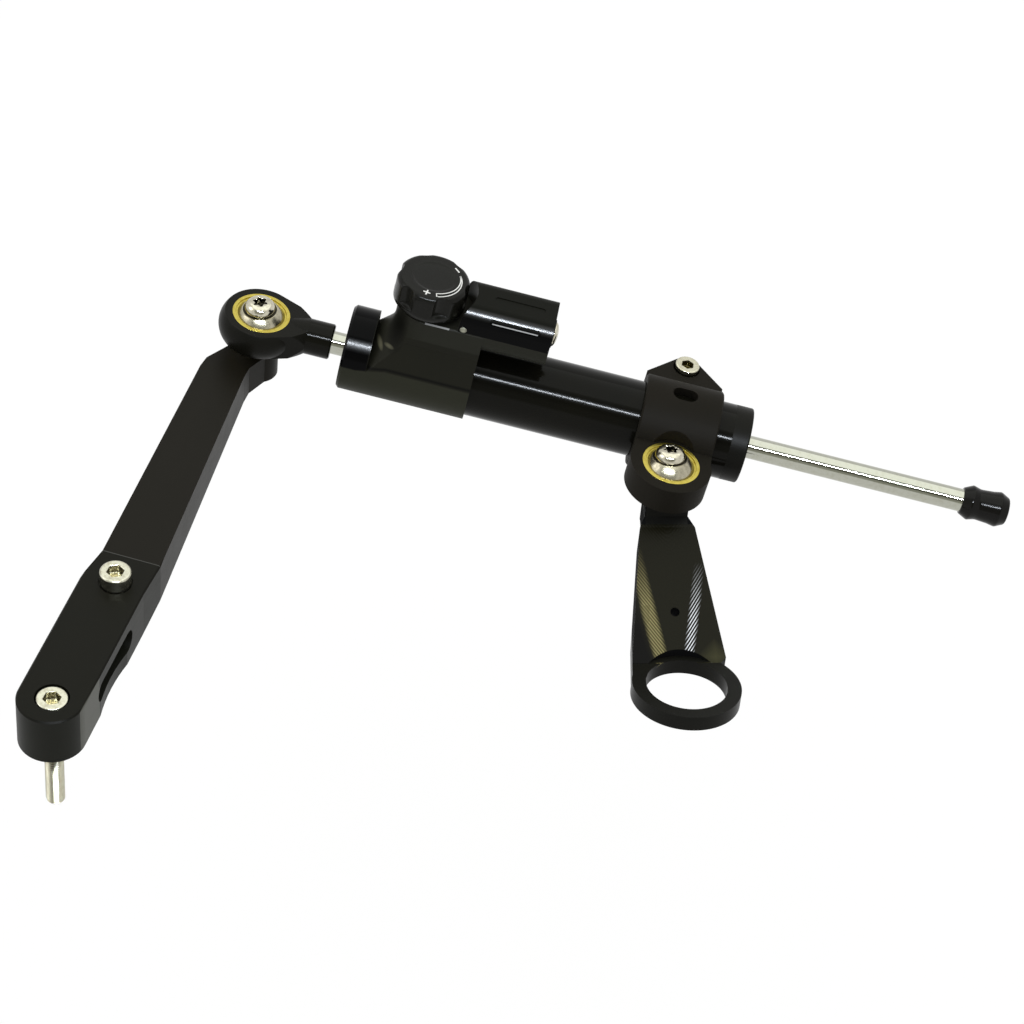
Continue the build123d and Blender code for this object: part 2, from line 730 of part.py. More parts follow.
def stem_bracket():
    """The bracket whose ring goes round the steering stem."""
    plan = Pos(0, 0, -overrun) * extrude(bracket_plan(), overrun)
    body = plan & extrude(bracket_side(), overrun, both=True)
    body -= post(bracket_spot_radius, -ring_drop, 0, 0, -ring_reach)
    body -= post(ring_radius, -overrun, 0, 0, -ring_reach)
    slope = math.degrees(math.atan2(ring_drop - face_top_drop, face_bottom_reach - face_top_reach))
    fall = (witness_hole_reach - face_top_reach) * math.tan(math.radians(slope))
    hole = Location((0, -witness_hole_reach, -face_top_drop - fall), (slope, 0, 0))
    body -= hole * Cylinder(witness_hole_radius, overrun)
    return bracket_place * (body - post(m6_radius, -overrun, 0))


nodes = {
    "frame_arm": frame_arm(),
    "frame_screw_lower": arm_screw(arm_screw_1_x, arm_screw_1_reach, arm_counterbore_depth,
                                   arm_screw_1_length),
    "frame_screw_upper": arm_screw(arm_screw_2_x, arm_screw_2_reach, m6_head_height - arm_screw_2_proud,
                                   arm_screw_2_length),
    "rod_end_bolt": arm_place * Pos(0, 0, ball_height / 2) * button_screw(),
    "rod_end_spacer": arm_place * spacer(),
    "rod_end_ball": arm_place * ball(),
    "rod_end_race": race(),
    "rod_end_housing": rod_end_housing(),
    "piston_rod": piston_rod(),
    "rod_bumper": rod_bumper(),
    "piston": piston(),
    "piston_ring": piston_ring(),
    "head_block": head_block(),
    "barrel_tube": barrel_tube(),
    "left_rod_guide": left_guide(),
    "left_rod_seal": rod_seal(head_start + part_clearance),
    "right_rod_guide": right_guide(),
    "right_rod_seal": rod_seal(tube_end - circlip_recess - circlip_width - seal_length),
    "right_guide_oring": guide_oring(),
    "right_circlip": circlip(),
    "reservoir_plug": reservoir_plug(),
    "reservoir_plug_seal": reservoir_seal(),
    "reservoir_bladder": reservoir_bladder(),
    "passage_plug": passage_plug(),
    "adjuster_knob": adjuster_knob(),
    "knob_grub_screw": knob_grub_screw(),
    "valve_spindle": valve_spindle(),
    "spindle_bush": spindle_bush(),
    "detent_plunger": detent_plunger(),
    "detent_ball": detent_ball(),
    "barrel_clamp": barrel_clamp(),
    "clamp_pinch_bolt": pinch_bolt(),
    "clamp_race": Pos(ball_2_x, ball_2_y, 0) * race(),
    "clamp_ball": bracket_place * ball(),
    "clamp_ball_bolt": bracket_place * Pos(0, 0, ball_height / 2) * button_screw(),
    "clamp_ball_spacer": bracket_place * spacer(),
    "stem_bracket": stem_bracket(),
}

for name, shape in nodes.items():
    export_step(origin_shift * shape, f"parts/{name}.step")
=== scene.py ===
"""Looks of a motorcycle steering damper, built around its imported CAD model.

The CAD model gives every place: the damper's own axes have their zero at the centre of the rod end's ball,
with the barrel along +X and the ball joints along +Z. The frame arm and the stem bracket hang on their balls
and lean in them, so each of the two has axes of its own. Local lengths are in millimetres.

Turned pieces are rings of points whose radius may change with the angle, which also gives hexagon and
six-lobe sockets, threads and the knob's flutes.
"""

import json
import logging
import math
from dataclasses import dataclass
from enum import Enum

import bpy
import numpy as np
from mathutils import Euler, Matrix, Vector

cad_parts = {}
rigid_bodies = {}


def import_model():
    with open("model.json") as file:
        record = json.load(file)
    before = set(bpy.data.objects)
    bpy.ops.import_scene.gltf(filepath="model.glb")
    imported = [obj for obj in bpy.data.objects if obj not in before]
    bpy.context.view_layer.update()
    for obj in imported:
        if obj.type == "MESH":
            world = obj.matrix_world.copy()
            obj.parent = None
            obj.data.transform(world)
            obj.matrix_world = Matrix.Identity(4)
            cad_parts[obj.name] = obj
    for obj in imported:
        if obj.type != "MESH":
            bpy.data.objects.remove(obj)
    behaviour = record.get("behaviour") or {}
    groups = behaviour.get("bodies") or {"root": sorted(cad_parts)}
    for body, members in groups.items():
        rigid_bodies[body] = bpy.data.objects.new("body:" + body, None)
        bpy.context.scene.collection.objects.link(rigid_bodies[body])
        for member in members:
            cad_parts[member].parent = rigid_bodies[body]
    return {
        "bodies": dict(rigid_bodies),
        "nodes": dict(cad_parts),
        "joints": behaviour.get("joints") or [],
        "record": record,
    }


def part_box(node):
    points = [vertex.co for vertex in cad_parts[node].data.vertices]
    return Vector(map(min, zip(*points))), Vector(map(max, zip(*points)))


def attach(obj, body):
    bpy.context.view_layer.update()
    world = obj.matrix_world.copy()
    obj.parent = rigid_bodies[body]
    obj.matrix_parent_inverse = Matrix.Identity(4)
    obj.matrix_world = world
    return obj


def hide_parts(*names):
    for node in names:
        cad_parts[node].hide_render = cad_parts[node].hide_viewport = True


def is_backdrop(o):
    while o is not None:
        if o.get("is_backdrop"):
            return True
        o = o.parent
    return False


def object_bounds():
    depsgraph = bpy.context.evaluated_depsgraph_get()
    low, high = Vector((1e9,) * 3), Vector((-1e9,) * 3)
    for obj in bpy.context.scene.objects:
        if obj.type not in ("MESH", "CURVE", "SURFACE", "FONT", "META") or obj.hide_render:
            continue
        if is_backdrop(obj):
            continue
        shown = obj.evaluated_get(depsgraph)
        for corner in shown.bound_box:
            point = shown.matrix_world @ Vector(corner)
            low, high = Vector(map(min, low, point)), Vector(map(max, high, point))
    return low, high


MM = 0.001
TURN = 2 * math.pi

# A colour without any light, how the frame arm and the stem bracket lean on their balls in degrees,
# the knob's place along the damper in millimetres, and how far below the object the floor lies in metres.
NO_LIGHT = (0.0, 0.0, 0.0)
ARM_TILT = (0.5, -6.9, -8.5)
BRACKET_TILT = (-12.9, -5.0, 15.1)
KNOB_REACH = 54.7
FLOOR_DROP = 0.12

log = logging.getLogger("damper")


# Axes and points


@dataclass(frozen=True)
class Axes:
    """A set of axes in the row frame.

    Args:
        origin: zero of the axes in the row frame, in metres.
        tilt: turns about the row frame's X, Y and Z in that order, in degrees.
    """

    origin: tuple
    tilt: tuple = (0.0, 0.0, 0.0)

    @property
    def turn(self) -> np.ndarray:
        """The 3 by 3 matrix whose columns are the local axes."""
        return np.array(Euler([math.radians(a) for a in self.tilt], "XYZ").to_matrix())

    def place(self, points: np.ndarray) -> np.ndarray:
        """Moves local points in millimetres into the row frame in metres."""
        return points * MM @ self.turn.T + np.array(self.origin)

    def moved(self, x: float = 0.0, y: float = 0.0, z: float = 0.0) -> "Axes":
        """The same axes with their zero at a local point in millimetres."""
        return Axes(tuple(self.place(np.array([x, y, z]))), self.tilt)


def centre_of(node: str) -> tuple:
    """Centre of a CAD node's box in the row frame, in metres."""
    low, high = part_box(node)
    return tuple((low + high) / 2)


class Along(Enum):
    """The local axis that a turning goes round."""

    X = "x"
    Z = "z"


# Profiles


@dataclass(frozen=True)
class Corner:
    """A corner of a turning's profile.

    Args:
        radius: distance from the axis.
        height: place along the axis.
        fillet: radius of the round that replaces the corner, 0 for a sharp one.
    """

    radius: float
    height: float
    fillet: float = 0.0


def rounded(corners: list, closed: bool = False, steps: int = 4, hold: float = 0.12) -> np.ndarray:
    """Rounds a profile's corners.

    A fillet f in a corner whose sides enclose the angle a touches them at f / tan(a / 2) from the corner.
    One more point lies a little further along each side, so that smooth shading stays inside the round.

    Args:
        corners: the profile's corners in order, up the outside.
        closed: whether the last corner joins the first.
        steps: pieces in each round.
        hold: distance from a round to the extra point beside it.

    Returns:
        Points as rows of (radius, height).
    """
    places = np.array([(c.radius, c.height) for c in corners])
    count = len(corners)
    rows = []
    for index, corner in enumerate(corners):
        here = places[index]
        end = not closed and index in (0, count - 1)
        if end or corner.fillet == 0:
            rows.append(here[None])
            continue
        back = places[index - 1] - here
        ahead = places[(index + 1) % count] - here
        reach_back, reach_ahead = np.linalg.norm(back), np.linalg.norm(ahead)
        back, ahead = back / reach_back, ahead / reach_ahead
        angle = math.acos(float(np.clip(back @ ahead, -1, 1)))
        touch = corner.fillet / math.tan(angle / 2)
        middle = here + (back + ahead) / np.linalg.norm(back + ahead) * corner.fillet / math.sin(angle / 2)
        share = np.linspace(0, 1, steps + 1)[:, None]
        chord = (here + back * touch - middle) * (1 - share) + (here + ahead * touch - middle) * share
        arc = middle + chord / np.linalg.norm(chord, axis=1)[:, None] * corner.fillet
        before = here + back * min(touch + hold, (touch + reach_back) / 2)
        after = here + ahead * min(touch + hold, (touch + reach_ahead) / 2)
        rows.append(np.vstack([before, arc, after]))
    return np.vstack(rows)


def arc_rows(radius: float, first: float, last: float, steps: int) -> np.ndarray:
    """Points of a circle round zero: (r cos a, r sin a) for the elevation a.

    Args:
        radius: the circle's radius r.
        first: the elevation at the start, in degrees.
        last: that at the end.
        steps: pieces of the arc.

    Returns:
        Points as rows of (radius, height).
    """
    angle = np.radians(np.linspace(first, last, steps + 1))
    return np.column_stack([radius * np.cos(angle), radius * np.sin(angle)])


def around(steps: int) -> np.ndarray:
    """The angles of one turn in equal steps, the last one short of a full turn."""
    return np.arange(steps) * TURN / steps


def hexagon(apothem: float, angle: np.ndarray) -> np.ndarray:
    """Radius of a hexagon: apothem / cos of the angle from the middle of the nearest side."""
    sector = TURN / 6
    return apothem / np.cos((angle + sector / 2) % sector - sector / 2)


def six_lobes(mean: float, swing: float, angle: np.ndarray, blunt: float = 0.18) -> np.ndarray:
    """Radius of a six-lobe socket: mean + swing (w + blunt w^2), where w is cos 6a."""
    wave = np.cos(6 * angle)
    return mean + swing * (wave + blunt * wave ** 2)


# Meshes


def new_mesh(name: str, points: np.ndarray, faces: list, finish: "Finish",
             crease: float = 32.0) -> bpy.types.Object:
    """Makes a mesh object at the origin.

    Args:
        name: the piece's name.
        points: vertices in the row frame, in metres.
        faces: vertex numbers of each face.
        finish: what gives the piece its material.
        crease: edges between faces that turn by more than this angle in degrees shade sharp.

    Returns:
        The new object.
    """
    mesh = bpy.data.meshes.new(name)
    mesh.from_pydata(points.tolist(), [], faces)
    mesh.validate()
    mesh.shade_smooth()
    mesh.set_sharp_from_angle(angle=math.radians(crease))
    mesh.materials.append(finish.material())
    piece = bpy.data.objects.new(name, mesh)
    bpy.context.scene.collection.objects.link(piece)
    return piece


def quads(rows: int, columns: int, close_rows: bool, close_columns: bool) -> np.ndarray:
    """Vertex numbers of a grid's faces.

    Args:
        rows: how many rows of points the grid has.
        columns: how many points each row has.
        close_rows: whether the last row joins the first.
        close_columns: whether the last column joins the first.

    Returns:
        Rows of four vertex numbers.
    """
    row = np.arange(rows if close_rows else rows - 1)[:, None]
    column = np.arange(columns if close_columns else columns - 1)[None, :]
    next_row, next_column = (row + 1) % rows, (column + 1) % columns
    corners = [row * columns + column, row * columns + next_column,
               next_row * columns + next_column, next_row * columns + column]
    return np.stack([np.broadcast_to(c, (len(row), column.shape[1])) for c in corners], -1).reshape(-1, 4)


@dataclass
class Turning:
    """A turned piece: P(u, a) = (r(u, a) cos a, r(u, a) sin a, h(u, a)).

    Args:
        name: the piece's name.
        radii: r as rows along the profile by steps round the axis.
        heights: h in the same form.
        closed: whether the profile is a loop, as in a ring. Otherwise each end closes on the axis.
    """

    name: str
    radii: np.ndarray
    heights: np.ndarray
    closed: bool = False

    @classmethod
    def plain(cls, name: str, profile: np.ndarray, steps: int = 96, closed: bool = False) -> "Turning":
        """A turning with the same profile all round.

        Args:
            name: the piece's name.
            profile: points as rows of (radius, height).
            steps: points round the axis.
            closed: whether the profile is a loop.

        Returns:
            The turning.
        """
        shape = (len(profile), steps)
        radii, heights = (np.broadcast_to(part, shape) for part in (profile[:, :1], profile[:, 1:]))
        return cls(name, radii, heights, closed)

    def build(self, axes: Axes, finish: "Finish", along: Along = Along.Z,
              crease: float = 32.0) -> bpy.types.Object:
        """Makes the piece's object.

        Args:
            axes: the axes it stands in.
            finish: what gives it its material.
            along: the local axis that it goes round.
            crease: edges between faces that turn by more than this angle in degrees shade sharp.

        Returns:
            The new object.
        """
        rows, steps = self.radii.shape
        angle = around(steps)
        across = self.radii * np.cos(angle), self.radii * np.sin(angle)
        parts = (self.heights, *across) if along is Along.X else (*across, self.heights)
        points = np.stack(parts, -1).reshape(-1, 3)
        faces = quads(rows, steps, self.closed, True).tolist()
        if not self.closed:
            poles = [points[:steps].mean(0), points[-steps:].mean(0)]
            first = np.arange(steps)
            after = (first + 1) % steps
            bottom, top = len(points), len(points) + 1
            last = (rows - 1) * steps
            faces += np.column_stack([after, first, np.full(steps, bottom)]).tolist()
            faces += np.column_stack([first + last, after + last, np.full(steps, top)]).tolist()
            points = np.vstack([points, *poles])
        return new_mesh(self.name, axes.place(points), faces, finish, crease)


def stacked(name: str, steps: int, parts: list) -> Turning:
    """A turning made of rows of rings, from one pole to the other.

    Args:
        name: the piece's name.
        steps: points round the axis.
        parts: pairs of radii, as rows by one or by all steps, and the heights of those rows.

    Returns:
        The turning.
    """
    radii = np.vstack([np.broadcast_to(radius, (len(height), steps)) for radius, height in parts])
    heights = np.concatenate([height for _, height in parts])[:, None]
    return Turning(name, radii, np.broadcast_to(heights, radii.shape))


@dataclass
class Ribbon:
    """A painted line of even width on a flat face, as thick as a coat of paint.

    The section is a rectangle whose long side stands across the path at each of its points.

    Args:
        name: the piece's name.
        path: local (x, y) points of the line's middle.
        width: the line's width.
        bottom: height of the paint's lower face.
        thickness: the paint's thickness.
        closed: whether the line returns to its start.
    """

    name: str
    path: np.ndarray
    width: float
    bottom: float
    thickness: float
    closed: bool = False

    def build(self, axes: Axes, finish: "Finish") -> bpy.types.Object:
        """Makes the line's object.

        Args:
            axes: the axes it lies in.
            finish: what gives it its material.

        Returns:
            The new object.
        """
        if self.closed:
            ahead = np.roll(self.path, -1, 0) - np.roll(self.path, 1, 0)
        else:
            ahead = np.gradient(self.path, axis=0)
        ahead /= np.linalg.norm(ahead, axis=1)[:, None]
        side = np.column_stack([-ahead[:, 1], ahead[:, 0]]) * self.width / 2
        top = self.bottom + self.thickness
        section = [(side, self.bottom), (side, top), (-side, top), (-side, self.bottom)]
        rings = [np.column_stack([self.path + s, np.full(len(s), z)]) for s, z in section]
        points = np.stack(rings, 1).reshape(-1, 3)
        faces = quads(len(self.path), 4, self.closed, True)[:, ::-1].tolist()
        if not self.closed:
            last = len(points) - 4
            faces += [[0, 1, 2, 3], [last + 3, last + 2, last + 1, last]]
        return new_mesh(self.name, axes.place(points), faces, finish)


# Shader arithmetic


class Field:
    """A node's output that takes part in arithmetic. Each operator adds one Math node."""

    def __init__(self, graph: "Graph", socket: bpy.types.NodeSocket):
        """Wraps a socket of that graph."""
        self.graph = graph
        self.socket = socket

    def math(self, operation: str, *others: "Value", clamp: bool = False) -> "Field":
        """This value put through a Math node with the others."""
        settings = {"operation": operation, "use_clamp": clamp}
        return self.graph.node("ShaderNodeMath", settings, {0: self, **dict(enumerate(others, 1))})

    def __add__(self, other: "Value") -> "Field":
        """The sum."""
        return self.math("ADD", other)

    def __sub__(self, other: "Value") -> "Field":
        """The difference."""
        return self.math("SUBTRACT", other)

    def __mul__(self, other: "Value") -> "Field":
        """The product."""
        return self.math("MULTIPLY", other)

    def __truediv__(self, other: "Value") -> "Field":
        """The quotient."""
        return self.math("DIVIDE", other)

    def __pow__(self, other: "Value") -> "Field":
        """The power."""
        return self.math("POWER", other)

    def __rsub__(self, other: float) -> "Field":
        """The difference from a plain number."""
        return self.graph.node("ShaderNodeMath", {"operation": "SUBTRACT"}, {0: other, 1: self})

    def __rtruediv__(self, other: float) -> "Field":
        """The quotient of a plain number and this value."""
        return self.graph.node("ShaderNodeMath", {"operation": "DIVIDE"}, {0: other, 1: self})

    __radd__ = __add__
    __rmul__ = __mul__

    def sine(self) -> "Field":
        """Sine of this value in radians."""
        return self.math("SINE")

    def root(self) -> "Field":
        """Square root of this value."""
        return self.math("SQRT")

    def size(self) -> "Field":
        """This value without its sign."""
        return self.math("ABSOLUTE")

    def larger(self, other: "Value") -> "Field":
        """The larger of this value and another."""
        return self.math("MAXIMUM", other)

    def above(self, edge: "Value") -> "Field":
        """1 where this value is over the edge, otherwise 0."""
        return self.math("GREATER_THAN", edge)

    def below(self, edge: "Value") -> "Field":
        """1 where this value is under the edge, otherwise 0."""
        return self.math("LESS_THAN", edge)

    def between(self, low: float, high: float) -> "Field":
        """1 where this value is between the two edges, otherwise 0."""
        return self.above(low) * self.below(high)

    def clamped(self) -> "Field":
        """This value held between 0 and 1."""
        return self.math("ADD", 0.0, clamp=True)

    def ramp(self, low: float, high: float) -> "Field":
        """0 at low, 1 at high, straight between them and held outside."""
        return ((self - low) / (high - low)).clamped()

    def near(self, middle: "Value", half: float, gain: float = 1.0) -> "Field":
        """The gain at the middle, falling straight to 0 at a half width to both sides, and held under 1."""
        return ((1.0 - (self - middle).size() / half) * gain).clamped()


Value = Field | float


class Graph:
    """A node tree, and the nodes that patterns are made of."""

    def __init__(self, tree: bpy.types.NodeTree):
        """Adds to that tree."""
        self.tree = tree

    def node(self, kind: str, settings: dict = None, inputs: dict = None, output: int | str = 0) -> Field:
        """Adds a node.

        Args:
            kind: the node's type.
            settings: its properties by name.
            inputs: what its sockets get, by name or number: a Field or a plain value.
            output: name or number of the output that is returned.

        Returns:
            The chosen output.
        """
        made = self.tree.nodes.new(kind)
        for name, value in (settings or {}).items():
            setattr(made, name, value)
        for key, value in (inputs or {}).items():
            self.feed(made.inputs[key], value)
        return Field(self, made.outputs[output])

    def feed(self, socket: bpy.types.NodeSocket, value: Value | tuple) -> None:
        """Links a Field to a socket, or sets its plain value.

        Args:
            socket: the input that gets it.
            value: the Field or the plain value.
        """
        if isinstance(value, Field):
            self.tree.links.new(value.socket, socket)
        else:
            socket.default_value = value

    def local(self, axes: Axes) -> Field:
        """Position in a set of axes.

        Args:
            axes: the axes.

        Returns:
            The position in millimetres.
        """
        return self.node("ShaderNodeMapping", {"vector_type": "TEXTURE"}, {
            "Vector": self.node("ShaderNodeTexCoord", output="Object"),
            "Location": axes.origin,
            "Rotation": [math.radians(a) for a in axes.tilt],
            "Scale": (MM, MM, MM),
        })

    def parts(self, vector: Field) -> tuple:
        """A vector's x, y and z."""
        first = self.node("ShaderNodeSeparateXYZ", inputs={0: vector})
        return first, *(Field(self, first.socket.node.outputs[i]) for i in (1, 2))

    def stretched(self, vector: Field, scale: tuple) -> Field:
        """A vector with each part multiplied."""
        return self.node("ShaderNodeVectorMath", {"operation": "MULTIPLY"}, {0: vector, 1: scale})

    def noise(self, vector: Field, scale: float, detail: float = 2.0, roughness: float = 0.5) -> Field:
        """Noise from 0 to 1 with that many waves to the millimetre."""
        return self.node("ShaderNodeTexNoise", {"noise_dimensions": "3D"}, {
            "Vector": vector, "Scale": scale, "Detail": detail, "Roughness": roughness})

    def mix(self, share: Field, first: tuple | Field, second: tuple | Field) -> Field:
        """A colour between two others."""
        both = [c if isinstance(c, Field) else (*c, 1.0) for c in (first, second)]
        return self.node("ShaderNodeMix", {"data_type": "RGBA"}, {0: share, 6: both[0], 7: both[1]}, 2)

    def bump(self, height: Field, depth: float) -> Field:
        """A normal bent by a height field, depth being the relief in millimetres of a height of 1."""
        return self.node("ShaderNodeBump", inputs={"Height": height, "Distance": depth * MM, "Strength": 1.0})

    def rays(self, *kinds: str) -> Field:
        """1 for light rays of any of these kinds, otherwise 0."""
        path = self.node("ShaderNodeLightPath").socket.node
        seen, *others = [Field(self, path.outputs[f"Is {kind} Ray"]) for kind in kinds]
        for other in others:
            seen = seen.larger(other)
        return seen


class Surface(Graph):
    """A new material's tree, with its Principled shader and the socket that its look ends in."""

    def __init__(self, name: str):
        """Makes the material of that name."""
        self.made = bpy.data.materials.new(name)
        self.made.use_nodes = True
        super().__init__(self.made.node_tree)
        self.tree.nodes.clear()
        self.shader = self.tree.nodes.new("ShaderNodeBsdfPrincipled")
        self.end = self.tree.nodes.new("ShaderNodeOutputMaterial").inputs["Surface"]
        self.tree.links.new(self.shader.outputs[0], self.end)

    def set(self, **sockets: Value | tuple) -> None:
        """Sets the Principled shader's sockets, with underscores for the spaces in their names."""
        for name, value in sockets.items():
            self.feed(self.shader.inputs[name.replace("_", " ")], value)


# Finishes


@dataclass(frozen=True)
class Finish:
    """What a surface is made of.

    Args:
        name: the material's name.
        tone: its colour.
        slot: the record's material slot.
        axes: the axes that its pattern follows.
    """

    name: str
    tone: tuple
    slot: str
    axes: Axes = Axes((0.0, 0.0, 0.0))

    def material(self) -> bpy.types.Material:
        """The material, made at the first call."""
        return bpy.data.materials.get(self.name) or self.make()

    def make(self) -> bpy.types.Material:
        """Builds the material's nodes."""
        raise NotImplementedError


@dataclass(frozen=True)
class Anodised(Finish):
    """Dyed anodised aluminium: a fine matt grain, faint cutter streaks and slow changes of tone.

    Args:
        second_tone: the tone that slow noise drifts towards.
        roughness: the middle roughness.
        swing: how far the roughness drifts.
        grain: depth of the grain in millimetres.
        streak: stretch of the cutter streaks along each local axis.
        specular: strength of the plain reflection.
        gloss: weight of a second, brighter reflection where the finish has one.
        gloss_roughness: roughness of that reflection.
        drift_waves: waves of the slow noise to the millimetre.
        speck_waves: waves of the grain to the millimetre.
        relief: shares of the grain and of the streaks in the relief.
    """

    second_tone: tuple = (0.008, 0.0074, 0.0042)
    roughness: float = 0.36
    swing: float = 0.1
    grain: float = 0.004
    streak: tuple = (0.05, 3.0, 3.0)
    specular: float = 0.08
    gloss: float = 0.0
    gloss_roughness: float = 0.3
    drift_waves: float = 0.06
    speck_waves: float = 9.0
    relief: tuple = (0.6, 0.4)

    def pattern(self, graph: Surface) -> tuple:
        """Adds the patterns that the look is made of.

        Args:
            graph: the material's nodes.

        Returns:
            The position, the slow drift, the streaks and the specks of the grain.
        """
        place = graph.local(self.axes)
        drift = graph.noise(place, self.drift_waves, 3.0)
        streaks = graph.noise(graph.stretched(place, self.streak), 1.0, 2.0)
        return place, drift, streaks, graph.noise(place, self.speck_waves, 1.0)

    def colour(self, graph: Surface, place: Field, drift: Field) -> Field:
        """The tone all over."""
        return graph.mix(drift, self.tone, self.second_tone)

    def dullness(self, graph: Surface, place: Field) -> Value:
        """The middle roughness all over."""
        return self.roughness

    def shine(self, graph: Surface, place: Field) -> Value:
        """Where the second reflection lies, from 0 to 1."""
        return 1.0

    def make(self) -> bpy.types.Material:
        """Builds the nodes from the colour, the dullness and the shine."""
        graph = Surface(self.name)
        place, drift, streaks, specks = self.pattern(graph)
        graph.set(
            Base_Color=self.colour(graph, place, drift),
            Roughness=self.dullness(graph, place) + (drift - 0.5) * self.swing + (streaks - 0.5) * self.swing,
            Specular_IOR_Level=self.specular,
            Coat_Weight=self.shine(graph, place) * self.gloss,
            Coat_Roughness=self.gloss_roughness,
            Normal=graph.bump(specks * self.relief[0] + streaks * self.relief[1], self.grain),
        )
        return graph.made


@dataclass(frozen=True)
class ArmBlack(Anodised):
    """The arm's black: its upper run has a browner painted reflection tone, a thin painted highlight lies
    along the crease between the runs, and painted reflections lighten the foot's walls.

    Args:
        crease: local y of the crease.
        crease_half: half of the width over which the runs' tones change.
        highlight_half: half of the width of the painted highlight.
        highlight_drop: how far the painted highlight reaches below the foot's top.
        top: local z of the foot's top.
        wall_drop: how far below the top the foot's upright wall starts.
        side: local x beyond which the foot's right side starts.
        upper_reflection_tone: painted reflection tone of the upper run, browner than the lower run.
        crease_highlight_tone: tone of the painted highlight.
        wall_light_tone: painted reflection tone that lightens the foot's upright wall.
        side_reflection_tone: painted reflection tone that lightens its right side.
    """

    crease: float = -116.6
    crease_half: float = 0.2
    highlight_half: float = 0.22
    highlight_drop: float = 0.3
    top: float = -6.65
    wall_drop: float = 0.6
    side: float = 10.3
    upper_reflection_tone: tuple = (0.0095, 0.0082, 0.005)
    crease_highlight_tone: tuple = (0.10, 0.10, 0.095)
    wall_light_tone: tuple = (0.0125, 0.013, 0.0095)
    side_reflection_tone: tuple = (0.1, 0.102, 0.088)

    def colour(self, graph: Surface, place: Field, drift: Field) -> Field:
        """The two runs' tones with the upper run's painted reflection, the painted highlight between them,
        and the painted reflections on the foot's walls.

        Args:
            graph: the material's nodes.
            place: the position in the finish's axes.
            drift: the slow drift of tone, from 0 to 1.

        Returns:
            The colour.
        """
        x, y, z = graph.parts(place)
        plain = super().colour(graph, place, drift)
        # Painted reflections: the foot's upright wall and its right side are lighter.
        foot = graph.mix(z.below(self.top - self.wall_drop), plain, self.wall_light_tone)
        foot = graph.mix(x.above(self.side), foot, self.side_reflection_tone)
        # Painted reflection: the upper run is browner than the lower.
        upper = y.ramp(self.crease - self.crease_half, self.crease + self.crease_half)
        # Painted highlight: a thin pale line along the crease.
        line = y.near(self.crease, self.highlight_half) * z.above(self.top - self.highlight_drop)
        return graph.mix(line, graph.mix(upper, foot, self.upper_reflection_tone), self.crease_highlight_tone)


@dataclass(frozen=True)
class Stepped(Anodised):
    """A black whose roughness changes at one place along the damper.

    Args:
        beyond: roughness beyond that place.
        start: where the place is.
    """

    beyond: float = 0.12
    start: float = 17.0

    def dullness(self, graph: Surface, place: Field) -> Field:
        """One roughness up to the place and the other beyond it."""
        x, _, _ = graph.parts(place)
        return self.roughness - x.above(self.start) * (self.roughness - self.beyond)


@dataclass(frozen=True)
class Spot:
    """A soft oval spot, for painted shadow and painted reflections: 1 - u^2 - v^2, with u across and v up in
    half sizes from its middle.

    Args:
        middle: its middle, along the damper and in rise.
        half: its half sizes in the same order.
        shear: what of the rise is added to the way along, and of the way along to the rise.
        strength: how much of its tone shows at the middle.
    """

    middle: tuple
    half: tuple
    shear: tuple = (0.0, 0.0)
    strength: float = 1.0

    def share(self, x: Field, rise: Field) -> Field:
        """How much of the spot's tone shows.

        Args:
            x: the place along the damper.
            rise: the rise there.

        Returns:
            A share from 0 to the spot's strength.
        """
        across = (x + rise * self.shear[0] - self.middle[0]) / self.half[0]
        over = (rise + x * self.shear[1] - self.middle[1]) / self.half[1]
        return (1.0 - across * across - over * over).clamped() * self.strength


@dataclass(frozen=True)
class Strip:
    """A thin strip with hard edges along the reservoir's front, for a painted highlight on its groove's lip
    and painted shade inside the groove.

    Args:
        rise: the rise of its middle line.
        half: half of its width.
        run: its two ends along the damper.
        bottom: the height above which it lies.
    """

    rise: float
    half: float
    run: tuple
    bottom: float = 31.0

    def share(self, x: Field, rise: Field, z: Field) -> Field:
        """1 on the strip, otherwise 0."""
        return (rise - self.rise).size().below(self.half) * x.between(*self.run) * z.above(self.bottom)


